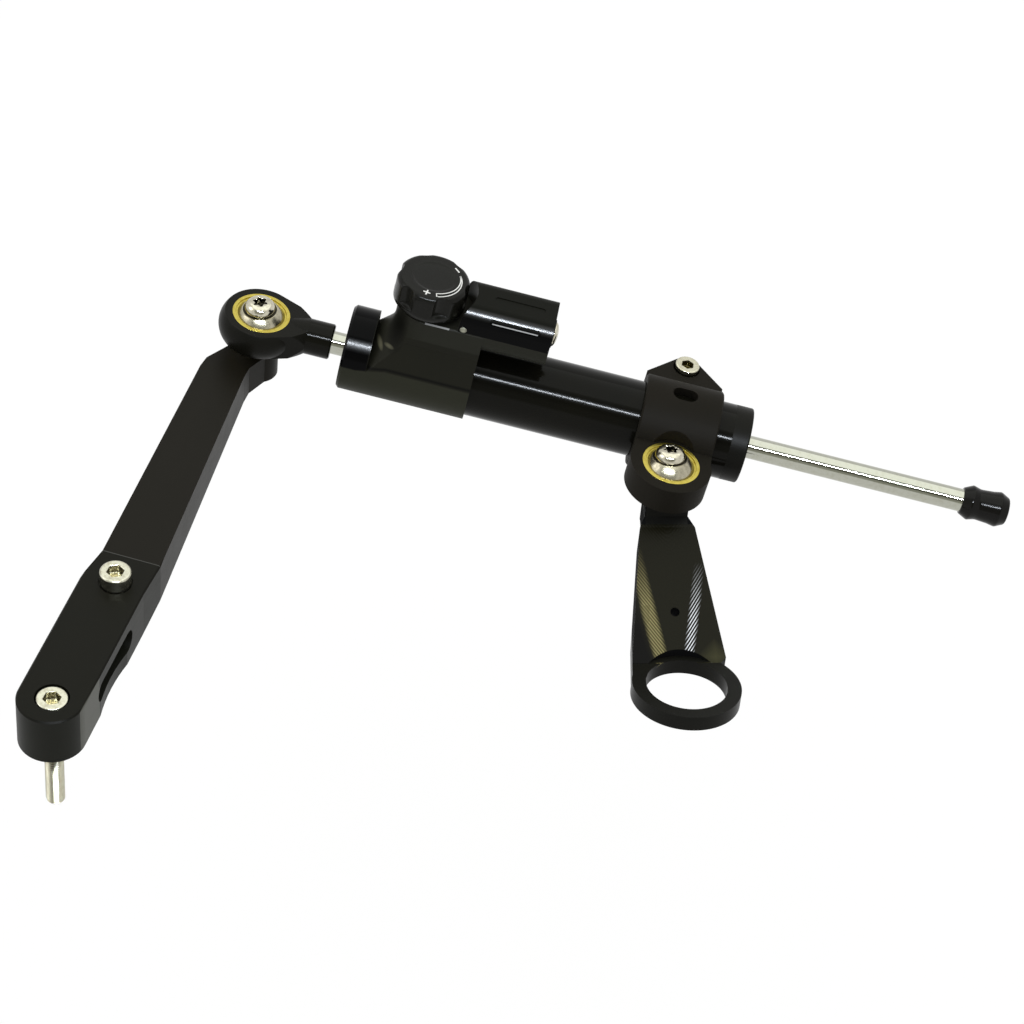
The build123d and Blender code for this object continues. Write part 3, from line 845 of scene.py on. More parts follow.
@dataclass(frozen=True)
class HeadBlack(Anodised):
    """The head block's black: a polished collar and reservoir front, satin elsewhere, with painted shade,
    shadow, light, highlights and reflections over it.

    Many of its edges run level with the light, so they lie at one rise, which is z + view y.

    Args:
        view: how much of y counts in the rise.
        polish: roughness of the polished places.
        polish_start: heights between which the polish comes in.
        collar_end: where the collar ends along the damper.
        collar_fade: the way over which its polish ends.
        collar_sheen: rise, half width and strength of the broad sheen on the collar.
        tower_top: height of the tower, above which the reservoir's front is polished.
        reservoir_start: where the reservoir starts along the damper.
        reservoir_front: y that its polished front lies before.
        top_edge: heights between which the tone of the reservoir's top comes in.
        polish_edge: heights between which the deep tone below it ends.
        shoulder: (y, z) of the shoulder's sheen.
        shoulder_peak: strength of that sheen at its middle line, held under 1.
        spread: how far from the middle line the sheen loses a strength of 1.
        seam_run: ways along between which the seam under the collar rises.
        seam_lift: how far it rises there.
        seam_height: height of its lower end.
        seam_fade: heights over the seam between which the underside's painted reflection tone ends.
        seam_shade_line: height over the seam, half width and strength of the painted shade line there.
        front: y that the scoop and the tower lie before.
        wall_rise: rises between which the painted light on the tower's wall starts.
        wall_run: ways along between which it starts.
        neck: painted shadow at the tower's neck, under the knob.
        crescent: painted reflection, a bright crescent in the scoop.
        patch: painted reflection, a bright patch above it.
        glint_corner: (y, z) that the painted highlight on the tower's edge lies before and above.
        glint_run: its ends along the damper.
        glint_strength: how bright it is.
        lip: painted highlight, a bright strip along the reservoir's groove.
        groove: painted shade, a dark strip inside the groove.
        deep_shade_tone: painted shade tone of the polished places, also used for the painted shade line over
            the seam.
        top_shade_tone: painted shade tone of the reservoir's top.
        underside_reflection_tone: painted reflection tone that lightens the round underside.
        glint_tone: tone of the painted highlights on the edges that catch the light.
        flare_glint_tone: tone of the painted reflections in the scoop.
        wall_light_tone: painted light tone of the tower's upper wall.
    """

    view: float = 0.85
    polish: float = 0.12
    polish_start: tuple = (2.5, 3.5)
    collar_end: float = 39.6
    collar_fade: float = 0.3
    collar_sheen: tuple = (1.3, 3.2, 0.6)
    tower_top: float = 27.05
    reservoir_start: float = 64.0
    reservoir_front: float = -4.6
    top_edge: tuple = (35.2, 36.2)
    polish_edge: tuple = (35.4, 36.3)
    shoulder: tuple = (-8.4, 34.9)
    shoulder_peak: float = 1.15
    spread: float = 1.8
    seam_run: tuple = (36.0, 46.0)
    seam_lift: float = 1.9
    seam_height: float = 3.0
    # Painted reflection on the round underside below the seam, and a painted shade line just over it.
    seam_fade: tuple = (-0.5, 0.0)
    seam_shade_line: tuple = (0.7, 0.8, 0.8)
    front: float = -2.0
    # Painted light on the tower's upper wall.
    wall_rise: tuple = (10.1, 10.7)
    wall_run: tuple = (48.0, 56.0)
    # Painted shadow under the knob, at the tower's neck.
    neck: Spot = Spot((46.8, 13.0), (3.6, 12.0), strength=0.75)
    # Painted reflections in the scoop: a bright crescent and a patch above it.
    crescent: Spot = Spot((43.7, 5.4), (1.1, 3.8), (0.33, 0.0))
    patch: Spot = Spot((45.2, 22.9), (2.0, 1.2), (0.0, 0.4), 0.8)
    # Painted highlight along the tower's top front edge.
    glint_corner: tuple = (-9.65, 26.55)
    glint_run: tuple = (55.3, 63.7)
    glint_strength: float = 0.6
    # Painted highlight on the groove's lip, and painted shade inside the groove.
    lip: Strip = Strip(25.245, 0.26, (77.2, 93.0))
    groove: Strip = Strip(26.1, 0.6, (76.6, 93.6))
    # Tones of the painted marks: shade on the polished places and the reservoir's top, reflection on the
    # underside, highlights, reflections in the scoop and light on the tower's wall.
    deep_shade_tone: tuple = (0.0022, 0.0022, 0.0025)
    top_shade_tone: tuple = (0.0075, 0.0078, 0.0055)
    underside_reflection_tone: tuple = (0.033, 0.034, 0.024)
    glint_tone: tuple = (0.75, 0.77, 0.8)
    flare_glint_tone: tuple = (0.13, 0.125, 0.085)
    wall_light_tone: tuple = (0.027, 0.0275, 0.0215)

    def polished(self, graph: Surface, place: Field) -> Field:
        """Where the head is polished.

        Args:
            graph: the material's nodes.
            place: the position in the finish's axes.

        Returns:
            1 on the collar and on the reservoir's front, otherwise 0.
        """
        x, y, z = graph.parts(place)
        front = z.above(self.tower_top) * y.below(self.reservoir_front) * x.above(self.reservoir_start)
        return (1.0 - x.ramp(self.collar_end - self.collar_fade, self.collar_end) + front).clamped()

    def colour(self, graph: Surface, place: Field, drift: Field) -> Field:
        """Satin black with painted light and shade: the reservoir's top in a painted shade tone lighter than
        the polished front, a painted reflection on the underside, deeper painted shade where it is polished,
        a painted shade line over the seam, painted light on the tower's wall, a painted shadow at its neck,
        painted reflections in the scoop, painted shade in the groove and painted highlights on the groove's
        lip and the tower's edge.

        Args:
            graph: the material's nodes.
            place: the position in the finish's axes.
            drift: the slow drift of tone, from 0 to 1.

        Returns:
            The colour.
        """
        x, y, z = graph.parts(place)
        rise = z + y * self.view
        # The painted shade line over the seam and the painted reflection on the round underside below it.
        over_seam = z - x.ramp(*self.seam_run) * self.seam_lift - self.seam_height
        line, half, strength = self.seam_shade_line
        # The painted light on the tower's wall, the painted shadow at its neck, the scoop's painted
        # reflections and the edge's painted highlight lie on the front only.
        front = y.below(self.front) * z.below(self.tower_top)
        # Painted reflections in the scoop.
        flare = self.crescent.share(x, rise) + self.patch.share(x, rise)
        # Painted highlight along the tower's top front edge.
        edge = z.above(self.glint_corner[1]) * y.below(self.glint_corner[0]) * x.between(*self.glint_run) * front
        # Painted highlights on the groove's lip and the tower's edge.
        glint = self.lip.share(x, rise, z) + edge * self.glint_strength
        tone = super().colour(graph, place, drift)
        # Painted shade, reflection, light, shadow and highlights, laid over the satin black in this order.
        for share, other in (
                (z.ramp(*self.top_edge), self.top_shade_tone),
                (self.polished(graph, place) * (1.0 - z.ramp(*self.polish_edge)), self.deep_shade_tone),
                (over_seam.near(line, half) * strength, self.deep_shade_tone),
                (1.0 - over_seam.ramp(*self.seam_fade), self.underside_reflection_tone),
                (rise.ramp(*self.wall_rise) * x.ramp(*self.wall_run) * front, self.wall_light_tone),
                (self.neck.share(x, rise) * front, NO_LIGHT),
                (flare.clamped() * front, self.flare_glint_tone),
                (self.groove.share(x, rise, z), NO_LIGHT),
                (glint.clamped(), self.glint_tone)):
            tone = graph.mix(share, tone, other)
        return tone

    def dullness(self, graph: Surface, place: Field) -> Field:
        """Smooth where it is polished.

        Args:
            graph: the material's nodes.
            place: the position in the finish's axes.

        Returns:
            The roughness.
        """
        _, _, z = graph.parts(place)
        smooth = self.polished(graph, place) * z.ramp(*self.polish_start)
        return self.roughness - smooth * (self.roughness - self.polish)

    def shine(self, graph: Surface, place: Field) -> Field:
        """A band along the shoulder, fading to both sides, and a broad sheen on the collar.

        Args:
            graph: the material's nodes.
            place: the position in the finish's axes.

        Returns:
            How much of the gloss shows.
        """
        x, y, z = graph.parts(place)
        across, up = y - self.shoulder[0], z - self.shoulder[1]
        away = (across * across + up * up).root() / self.spread
        middle, half, strength = self.collar_sheen
        collar = (z + y * self.view).near(middle, half) * x.below(self.collar_end) * strength
        return (self.shoulder_peak - away).clamped() * x.above(self.reservoir_start) + collar


@dataclass(frozen=True)
class HighlightBand:
    """A band of painted highlight down the bracket's face, with its middle at x = start + lean d, d being the
    way down.

    Args:
        tone: its tone.
        start: x of its middle at the face's upper end.
        lean: how far the middle shifts for each millimetre down.
        half: half of its width.
        gain: how hard its edges are.
        fade: ways down between which it comes in.
    """

    tone: tuple
    start: float
    lean: float
    half: float
    gain: float
    fade: tuple

    def middle(self, down: Field, wander: Field) -> Field:
        """x of the band's middle, which wanders a little."""
        return down * self.lean + self.start + wander

    def share(self, x: Field, down: Field, wander: Field) -> Field:
        """1 on the band, falling to 0 beside it."""
        return x.near(self.middle(down, wander), self.half, self.gain) * down.ramp(*self.fade)


@dataclass(frozen=True)
class Milled(Anodised):
    """Anodised aluminium whose sloping face keeps the strokes of the cutter that milled it.

    The strokes lean down towards the face's middle line: with d the way down the face, their phase is
    (d + slope sqrt(x^2 + bend^2)) / pitch. One band on each side carries a painted highlight, and the strokes
    shine there.

    Args:
        relief: height of the grain, of the streaks and of the strokes.
        face_top: local (y, z) at the face's upper end.
        face_bottom: local (y, z) at its lower end.
        skin: how far from its plane a point still counts as on the face.
        face_reflection_tone: painted reflection tone of the face.
        smoother: how much smoother the face is.
        slope: how steeply the strokes lean.
        bend: half of the width over which they turn round at the middle line.
        pitch: the way down the face between two strokes.
        left: the left band of painted highlight.
        right: the right band of painted highlight.
        between: share of the left band's tone that shows between its strokes.
        wander: how far the bands wander.
        metal: how metallic the right band's strokes are.
        left_metal: that of the left band's, as a share of it.
        corner: (x, d) of the painted reflection that lightens the lower right corner.
        corner_reach: how far from there it fades out.
        corner_reflection_tone: the tone of that painted reflection.
        shade_out: distances left of the left band's middle between which painted shade darkens the face.
        shade_down: ways down between which it does.
        shade_strength: how dark it gets.
        flank_corner: (x, y) beyond which the bracket's sides are painted in shade and duller.
        flank_run: heights between which they are.
        duller: how much duller they are.
    """

    relief: tuple = (0.3, 0.2, 2.0)
    face_top: tuple = (-8.6, -16.2)
    face_bottom: tuple = (-49.0, -43.9)
    skin: float = 0.1
    # Painted reflection tone of the sloping face.
    face_reflection_tone: tuple = (0.0105, 0.0098, 0.0042)
    smoother: float = 0.04
    slope: float = 1.5
    bend: float = 1.5
    pitch: float = 1.55
    # Bands of painted highlight, golden on the left and white on the right.
    left: HighlightBand = HighlightBand((0.30, 0.265, 0.12), -13.6, 0.155, 2.9, 2.0, (6.0, 28.0))
    right: HighlightBand = HighlightBand((0.80, 0.82, 0.88), 12.6, -0.196, 2.0, 1.8, (13.0, 32.0))
    between: float = 0.25
    wander: float = 2.0
    metal: float = 0.7
    left_metal: float = 0.6
    # Painted reflection in the lower right corner.
    corner: tuple = (12.5, 47.0)
    corner_reach: float = 7.0
    corner_reflection_tone: tuple = (0.055, 0.053, 0.024)
    # Painted shade at the face's lower left.
    shade_out: tuple = (1.5, 4.5)
    shade_down: tuple = (22.0, 36.0)
    shade_strength: float = 0.9
    flank_corner: tuple = (7.3, -9.0)
    flank_run: tuple = (-43.8, -7.0)
    duller: float = 0.5

    def make(self) -> bpy.types.Material:
        """Builds the nodes: the flanks' painted shade, the face with its painted reflection tone and painted
        shade, its strokes and its two bands of painted highlight.
        """
        graph = Surface(self.name)
        place, drift, streaks, specks = self.pattern(graph)
        x, y, z = graph.parts(place)
        top, bottom = np.array(self.face_top), np.array(self.face_bottom)
        along_y, along_z = ((bottom - top) / np.linalg.norm(bottom - top)).tolist()
        depth = (y - self.face_top[0]) * -along_z + (z - self.face_top[1]) * along_y
        down = (y - self.face_top[0]) * along_y + (z - self.face_top[1]) * along_z
        on_face = depth.size().below(self.skin)
        outer = (y.below(self.flank_corner[1]) + x.size().above(self.flank_corner[0])).clamped()
        # Painted shade: the bracket's sides off the face are painted black, and they are duller.
        shaded_flank = (1.0 - on_face) * outer * z.between(*self.flank_run)
        bow = (x * x + self.bend ** 2).root() * self.slope
        strokes = ((down + bow) * (TURN / self.pitch)).sine() * 0.5 + 0.5
        lines = strokes ** 2.0
        wander = (drift - 0.5) * self.wander
        # The two bands of painted highlight.
        left, right = (band.share(x, down, wander) for band in (self.left, self.right))
        # Painted shade at the face's lower left.
        shade = (self.left.middle(down, wander) - x).ramp(*self.shade_out) * down.ramp(*self.shade_down)
        # Painted reflection in the lower right corner.
        away = (x - self.corner[0]).size() + (down - self.corner[1]).size()
        tone = self.colour(graph, place, drift)
        for share, other in (
                (shaded_flank, NO_LIGHT),
                (on_face, self.face_reflection_tone),
                (on_face * shade * self.shade_strength, NO_LIGHT),
                (on_face * away.near(0.0, self.corner_reach), self.corner_reflection_tone),
                (on_face * left * (lines * (1.0 - self.between) + self.between), self.left.tone),
                (on_face * right * (strokes ** 4.0), self.right.tone)):
            tone = graph.mix(share, tone, other)
        speck_share, streak_share, stroke_share = self.relief
        height = specks * speck_share + streaks * streak_share + strokes * on_face * stroke_share
        dullness = self.roughness + (drift - 0.5) * self.swing - on_face * self.smoother + shaded_flank * self.duller
        graph.set(
            Base_Color=tone,
            Metallic=((left * self.left_metal + right) * on_face * lines).clamped() * self.metal,
            Roughness=dullness,
            Specular_IOR_Level=self.specular,
            Normal=graph.bump(height, self.grain),
        )
        return graph.made


@dataclass(frozen=True)
class Metal(Finish):
    """Bare or plated metal with fine turning lines, stains that dull it a little, and painted shade in a
    socket and in a thread's roots.

    Args:
        stain: the tone of the stains.
        roughness: the middle roughness.
        swing: how far the stains change the roughness.
        lines: depth of the turning lines in millimetres.
        pitch: lines to the millimetre.
        along: stretch of the lines' noise along each local axis.
        line_swing: how far the lines change the roughness.
        stain_waves: waves of the stains to the millimetre.
        stain_edge: strengths of their noise between which they come in.
        pit_radius: radius round the local Z axis inside which a socket is painted in shade, 0 for none.
        pit_floor: local height above which it is dark.
        pit_top: local height below which it is dark.
        pit_tone: the tone of the painted shade in the socket and in the thread's roots.
        root: radius under which a thread's roots are painted in shade, 0 for none.
        thread_top: local height below which the thread starts.
    """

    stain: tuple = (0.5, 0.47, 0.4)
    roughness: float = 0.2
    swing: float = 0.12
    lines: float = 0.003
    pitch: float = 2.0
    along: tuple = (1.0, 1.0, 6.0)
    line_swing: float = 0.06
    stain_waves: float = 0.7
    stain_edge: tuple = (0.45, 0.8)
    pit_radius: float = 0.0
    pit_floor: float = 0.0
    pit_top: float = 0.0
    pit_tone: tuple = (0.03, 0.027, 0.018)
    root: float = 0.0
    thread_top: float = -0.3

    def make(self) -> bpy.types.Material:
        """Builds the nodes: stains, turning lines, and the painted shade in a socket and in a thread's roots.
        """
        graph = Surface(self.name)
        place = graph.local(self.axes)
        cloud = graph.noise(place, self.stain_waves, 4.0, 0.6)
        fine = graph.noise(graph.stretched(place, self.along), self.pitch, 2.0)
        tone = graph.mix(cloud.ramp(*self.stain_edge), self.tone, self.stain)
        # Painted shade in the socket and in the thread's roots.
        if self.pit_radius:
            x, y, z = graph.parts(place)
            out = x * x + y * y
            pit = out.below(self.pit_radius ** 2) * z.between(self.pit_floor, self.pit_top)
            tone = graph.mix(pit, tone, self.pit_tone)
            tone = graph.mix(out.below(self.root ** 2) * z.below(self.thread_top), tone, self.pit_tone)
        graph.set(
            Base_Color=tone,
            Metallic=1.0,
            Roughness=self.roughness + (cloud - 0.5) * self.swing + (fine - 0.5) * self.line_swing,
            Normal=graph.bump(fine, self.lines),
        )
        return graph.made


@dataclass(frozen=True)
class Moulded(Finish):
    """Moulded rubber or plastic with an orange-peel skin and a little dust.

    Args:
        roughness: the middle roughness.
        peel: depth of the skin's waves in millimetres.
        waves: waves to the millimetre.
        specular: strength of the plain reflection.
        dust_waves: waves of the dust to the millimetre.
        dust_edge: strengths of its noise between which it shows.
        dust_swing: how far it changes the roughness.
        lift: factor and addition that make a tone dusty.
    """

    roughness: float = 0.25
    peel: float = 0.01
    waves: float = 0.8
    specular: float = 0.3
    dust_waves: float = 4.0
    dust_edge: tuple = (0.5, 0.75)
    dust_swing: float = 0.12
    lift: tuple = (1.6, 0.004)

    def make(self) -> bpy.types.Material:
        """Builds the nodes: the skin's waves and the dust."""
        graph = Surface(self.name)
        place = graph.local(self.axes)
        skin = graph.noise(place, self.waves, 3.0)
        dust = graph.noise(place, self.dust_waves, 4.0, 0.7)
        factor, addition = self.lift
        lighter = tuple(min(1.0, c * factor + addition) for c in self.tone)
        graph.set(
            Base_Color=graph.mix(dust.ramp(*self.dust_edge), self.tone, lighter),
            Roughness=self.roughness + (dust - 0.5) * self.dust_swing,
            Specular_IOR_Level=self.specular,
            Normal=graph.bump(skin, self.peel),
        )
        return graph.made


def dress(frame: dict, finishes: dict) -> None:
    """Gives CAD nodes their finishes.

    Args:
        finishes: the finish of each node, by its name.
    """
    for node, finish in finishes.items():
        mesh = frame["nodes"][node].data
        mesh.materials.clear()
        mesh.materials.append(finish.material())


def settle(piece: bpy.types.Object, body: str, finish: Finish, *nodes: str) -> None:
    """Lets a piece ride on a body, in the place of the CAD nodes that it stands for.

    Args:
        piece: the piece's object.
        body: the body that carries it.
        finish: its finish; not used.
        nodes: the CAD nodes that it stands for, if any.
    """
    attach(piece, body)
    if nodes:
        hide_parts(*nodes)


# Sub-assemblies


@dataclass(frozen=True)
class Palette:
    """The finishes that several sub-assemblies share.

    Args:
        damper: the damper's own axes, which the patterns follow.
    """

    damper: Axes

    def black(self, name: str, **changes: Value | tuple) -> Anodised:
        """Black anodised aluminium, with changes to its plain look."""
        values = {"tone": (0.0055, 0.0055, 0.0035), "slot": "black_anodised", "axes": self.damper}
        return Anodised(name, **{**values, **changes})

    def steel(self, name: str, axes: Axes, **changes: Value | tuple) -> Metal:
        """Bright stainless steel with a slightly yellow cast, with changes to its plain look."""
        values = {"tone": (0.58, 0.55, 0.44), "stain": (0.34, 0.31, 0.23)}
        return Metal(name, slot="polished_steel", axes=axes, **{**values, **changes})

    @property
    def rubber(self) -> Moulded:
        """Black rubber of the seals."""
        return Moulded("black_rubber", (0.012, 0.011, 0.01), "black_rubber", self.damper, roughness=0.3,
                       peel=0.006)

    @property
    def bronze(self) -> Metal:
        """Bronze of the bushes inside."""
        return Metal("inner_bronze", (0.55, 0.36, 0.16), "inner_bronze", self.damper, stain=(0.3, 0.18, 0.08),
                     roughness=0.32)

    @property
    def ring_plastic(self) -> Moulded:
        """Filled plastic of the piston ring."""
        return Moulded("ring_plastic", (0.12, 0.09, 0.06), "ring_plastic", self.damper, roughness=0.5,
                       peel=0.004)

    @property
    def foam(self) -> Moulded:
        """Closed-cell foam of the reservoir's bladder."""
        return Moulded("bladder_foam", (0.03, 0.03, 0.03), "black_rubber", self.damper, roughness=0.8,
                       peel=0.12, waves=1.6)


@dataclass
class CapScrew:
    """A socket cap screw, with its seat at the zero of its axes and its head upward.

    Args:
        name: the piece's name.
        thread: radius of the thread's crests.
        pitch: the thread's pitch.
        length: from seat to tip.
        head: the head's radius.
        height: the head's height.
        socket: half of the key's width across flats.
        depth: the socket's depth.
        rim: fillet of the head's upper edge.
        tip: how far from the end the thread tapers.
        thread_share: depth of the thread as a share of its pitch.
        crest_power: shape of the thread's wave. Below 1 it has broad crests.
        neck_fillet: fillet where the shank meets the head.
        seat_fillet: fillet of the head's lower edge.
        land: where the head's flat top ends, as a share of the socket.
        lead: width and depth of the socket's lead-in.
        floor_fillet: the round where its wall meets its floor.
        drill: depth of the drill's cone under the floor.
        drill_share: radius of that cone's end as a share of the socket.
        steps: points round the screw.
        rows_a_pitch: rows along each pitch of the thread.
    """

    name: str
    thread: float
    pitch: float
    length: float
    head: float
    height: float
    socket: float
    depth: float
    rim: float = 0.6
    tip: float = 0.9
    thread_share: float = 0.6
    crest_power: float = 0.7
    neck_fillet: float = 0.1
    seat_fillet: float = 0.3
    land: float = 1.35
    lead: float = 0.12
    floor_fillet: float = 0.1
    drill: float = 0.25
    drill_share: float = 0.3
    steps: int = 72
    rows_a_pitch: int = 8

    def build(self, axes: Axes, finish: Finish) -> bpy.types.Object:
        """Makes the screw.

        The thread is r = crest - depth (1 - w^power), with w = (1 + cos(turn z / pitch - a)) / 2.

        Args:
            axes: axes with their zero on the seat.
            finish: the screw's finish.

        Returns:
            The screw's object.
        """
        angle = around(self.steps)
        rows = int(self.length / self.pitch * self.rows_a_pitch)
        z = np.linspace(-self.length, -self.pitch / 2, rows)[:, None]
        wave = 0.5 + 0.5 * np.cos(TURN * z / self.pitch - angle)
        depth = self.pitch * self.thread_share
        taper = np.minimum(1, (z + self.length) / self.tip)
        crest = self.thread - (1 - taper) * self.tip
        shank = crest - depth * (1 - wave ** self.crest_power) * taper
        head = rounded([
            Corner(self.thread, -self.pitch / 4),
            Corner(self.thread, 0, self.neck_fillet),
            Corner(self.head, 0, self.seat_fillet),
            Corner(self.head, self.height, self.rim),
            Corner(self.socket * self.land, self.height),
        ])
        key = hexagon(self.socket, angle)[None]
        floor = self.height - self.depth
        return stacked(self.name, self.steps, [
            (shank, z[:, 0]),
            (head[:, :1], head[:, 1]),
            (key + self.lead, [self.height]),
            (key, [self.height - self.lead]),
            (key, [floor + self.floor_fillet]),
            (key - self.floor_fillet, [floor]),
            (key * self.drill_share, [floor - self.drill]),
        ]).build(axes, finish)


@dataclass
class ButtonScrew:
    """A button head screw with a six-lobe socket, its seat at the zero of its axes.

    Args:
        name: the piece's name.
        head: the head's radius.
        height: the head's height.
        crown: radius of its flat crown.
        rim: height of its upright rim.
        shank: the shank's radius.
        length: from seat to tip.
        tip: width of the chamfer at the tip.
        fillets: fillets at the tip and the neck, and under the head.
        lobe_mean: mean radius of the socket.
        lobe_swing: how far the lobes swing to both sides of it.
        depth: the socket's depth.
        lead: width and depth of the socket's lead-in.
        taper: the socket's size at its floor as a share of its size above.
        drill: depth of the drill's cone under the floor.
        drill_share: size of that cone's end as a share of the socket.
        dome_rows: rows up the dome.
        steps: points round the screw.
    """

    name: str
    head: float = 5.25
    height: float = 3.3
    crown: float = 2.7
    rim: float = 0.5
    shank: float = 3.0
    length: float = 25.0
    tip: float = 0.6
    fillets: tuple = (0.1, 0.15)
    lobe_mean: float = 2.1
    lobe_swing: float = 0.42
    depth: float = 1.9
    lead: float = 0.15
    taper: float = 0.97
    drill: float = 0.35
    drill_share: float = 0.4
    dome_rows: int = 11
    steps: int = 96

    def build(self, axes: Axes, finish: Finish) -> bpy.types.Object:
        """Makes the screw, whose head is a quarter of an ellipse turned round the axis.

        Args:
            axes: axes with their zero on the seat.
            finish: the screw's finish.

        Returns:
            The screw's object.
        """
        neck, seat = self.fillets
        foot = rounded([
            Corner(self.shank - self.tip, -self.length),
            Corner(self.shank, self.tip - self.length, neck),
            Corner(self.shank, 0, neck),
            Corner(self.head, 0, seat),
            Corner(self.head, self.rim),
        ])
        lean = np.linspace(0, math.pi / 2, self.dome_rows + 1)[1:]
        dome = np.column_stack([self.crown + (self.head - self.crown) * np.cos(lean),
                                self.rim + (self.height - self.rim) * np.sin(lean)])
        lobes = six_lobes(self.lobe_mean, self.lobe_swing, around(self.steps))[None]
        floor = self.height - self.depth
        return stacked(self.name, self.steps, [
            (foot[:, :1], foot[:, 1]),
            (dome[:, :1], dome[:, 1]),
            (lobes + self.lead, [self.height]),
            (lobes, [self.height - self.lead]),
            (lobes * self.taper, [floor]),
            (lobes * self.drill_share, [floor - self.drill]),
        ]).build(axes, finish)


@dataclass
class BallJoint:
    """A bored ball in its race, held by a button head screw through a spacer.

    Args:
        name: start of the pieces' names.
        race: axes of the race.
        seat: axes of the ball and its screw, which lean in the race.
        race_body: the body that carries the race.
        ball_body: the ball's body.
        seat_body: the body that carries the screw.
        nodes: CAD nodes of the screw, ball, race and spacer.
        palette: the shared finishes.
        radius: the ball's radius.
        half_height: half of the height between its flats.
        bore: radius of its bore.
        play: gap between the ball and its seat.
        race_radius: outer radius of the race.
        race_mouth: inner radius of the race's mouth.
        race_lip: radius at which the mouth steps down.
        race_step: depth of that step.
        race_half: half of the race's height.
        race_seat: half of the height of the hollow seat.
        race_fillets: fillets of its lip and of its outer edge.
        spacer_radius: the spacer's radius.
        spacer_height: its height.
        spacer_gap: a hair's breadth between spacer and ball.
        spacer_fillet: fillet of its edges.
        socket_radius: radius inside which the screw's socket is painted in shade.
        socket_top: height over the ball's flat under which it is dark.
        under_head: radius inside which the ball's flat is painted dark, a painted shadow of the screw head.
        shade_rise: heights over and under the flat between which that shade lies.
    """

    name: str
    race: Axes
    seat: Axes
    race_body: str
    ball_body: str
    seat_body: str
    nodes: tuple
    palette: Palette
    radius: float = 9.0
    half_height: float = 6.5
    bore: float = 3.05
    play: float = 0.08
    race_radius: float = 10.0
    race_mouth: float = 8.2
    race_lip: float = 8.75
    race_step: float = 0.4
    race_half: float = 5.0
    race_seat: float = 4.4
    race_fillets: tuple = (0.1, 0.15)
    spacer_radius: float = 5.6
    spacer_height: float = 3.0
    spacer_gap: float = 0.03
    spacer_fillet: float = 0.4
    socket_radius: float = 2.3
    socket_top: float = 3.15
    under_head: float = 5.85
    shade_rise: tuple = (0.5, 0.25)

    def build(self) -> None:
        """Makes the joint's four pieces."""
        screw_node, ball_node, race_node, spacer_node = self.nodes
        flat = self.half_height
        # The screw's socket gets painted shade, and the ball's flat a painted shadow under the screw head.
        steel = self.palette.steel(
            f"{self.name}_steel", self.seat, roughness=0.17, swing=0.16, pit_radius=self.socket_radius,
            pit_floor=flat, pit_top=flat + self.socket_top)
        polished = self.palette.steel(
            f"{self.name}_polish", self.seat, tone=(0.42, 0.39, 0.29), stain=(0.22, 0.2, 0.14),
            roughness=0.25, swing=0.16, pit_radius=self.under_head,
            pit_floor=flat - self.shade_rise[1], pit_top=flat + self.shade_rise[0])
        gold = Metal(
            f"{self.name}_gold", (0.47, 0.39, 0.08), "golden_brass", self.race, stain=(0.34, 0.25, 0.035),
            roughness=0.32, lines=0.004, pitch=3.0, along=(1.0, 1.0, 1.0))
        screw = ButtonScrew(f"{self.name}_screw").build(self.seat.moved(z=flat), steel)
        settle(screw, self.seat_body, steel, screw_node)
        for part, profile, steps, axes, body, finish, node in (
                ("ball", self.ball_profile(), 96, self.seat, self.ball_body, polished, ball_node),
                ("race", self.race_profile(), 128, self.race, self.race_body, gold, race_node),
                ("spacer", self.spacer_profile(), 64, self.seat, self.seat_body, steel, spacer_node)):
            piece = Turning.plain(f"{self.name}_{part}", profile, steps, True).build(axes, finish)
            settle(piece, body, finish, node)

    def ball_profile(self) -> np.ndarray:
        """The sphere between its flats, closed through the bore."""
        edge = math.degrees(math.asin(self.half_height / self.radius))
        sphere = arc_rows(self.radius, -edge, edge, 28)
        return np.vstack([(self.bore, -self.half_height), sphere, (self.bore, self.half_height)])

    def race_profile(self) -> np.ndarray:
        """The race: outer wall, flat mouths with a small inner step, and the seat."""
        half, step = self.race_half, self.race_half - self.race_step
        lip, edge = self.race_fillets
        hollow = self.radius + self.play
        end = math.degrees(math.asin(self.race_seat / hollow))
        cup = arc_rows(hollow, end, -end, 12)
        outside = rounded([
            Corner(self.race_mouth, -step), Corner(self.race_lip, -step),
            Corner(self.race_lip, -half, lip), Corner(self.race_radius, -half, edge),
            Corner(self.race_radius, half, edge), Corner(self.race_lip, half, lip),
            Corner(self.race_lip, step), Corner(self.race_mouth, step),
            Corner(cup[0, 0], self.race_seat),
        ])
        return np.vstack([outside[:-1], cup])

    def spacer_profile(self) -> np.ndarray:
        """The washer under the ball, bored like it."""
        low, high = -self.half_height - self.spacer_height, -self.half_height - self.spacer_gap
        return rounded([Corner(self.bore, low), Corner(self.spacer_radius, low, self.spacer_fillet),
                        Corner(self.spacer_radius, high, self.spacer_fillet), Corner(self.bore, high)], True)


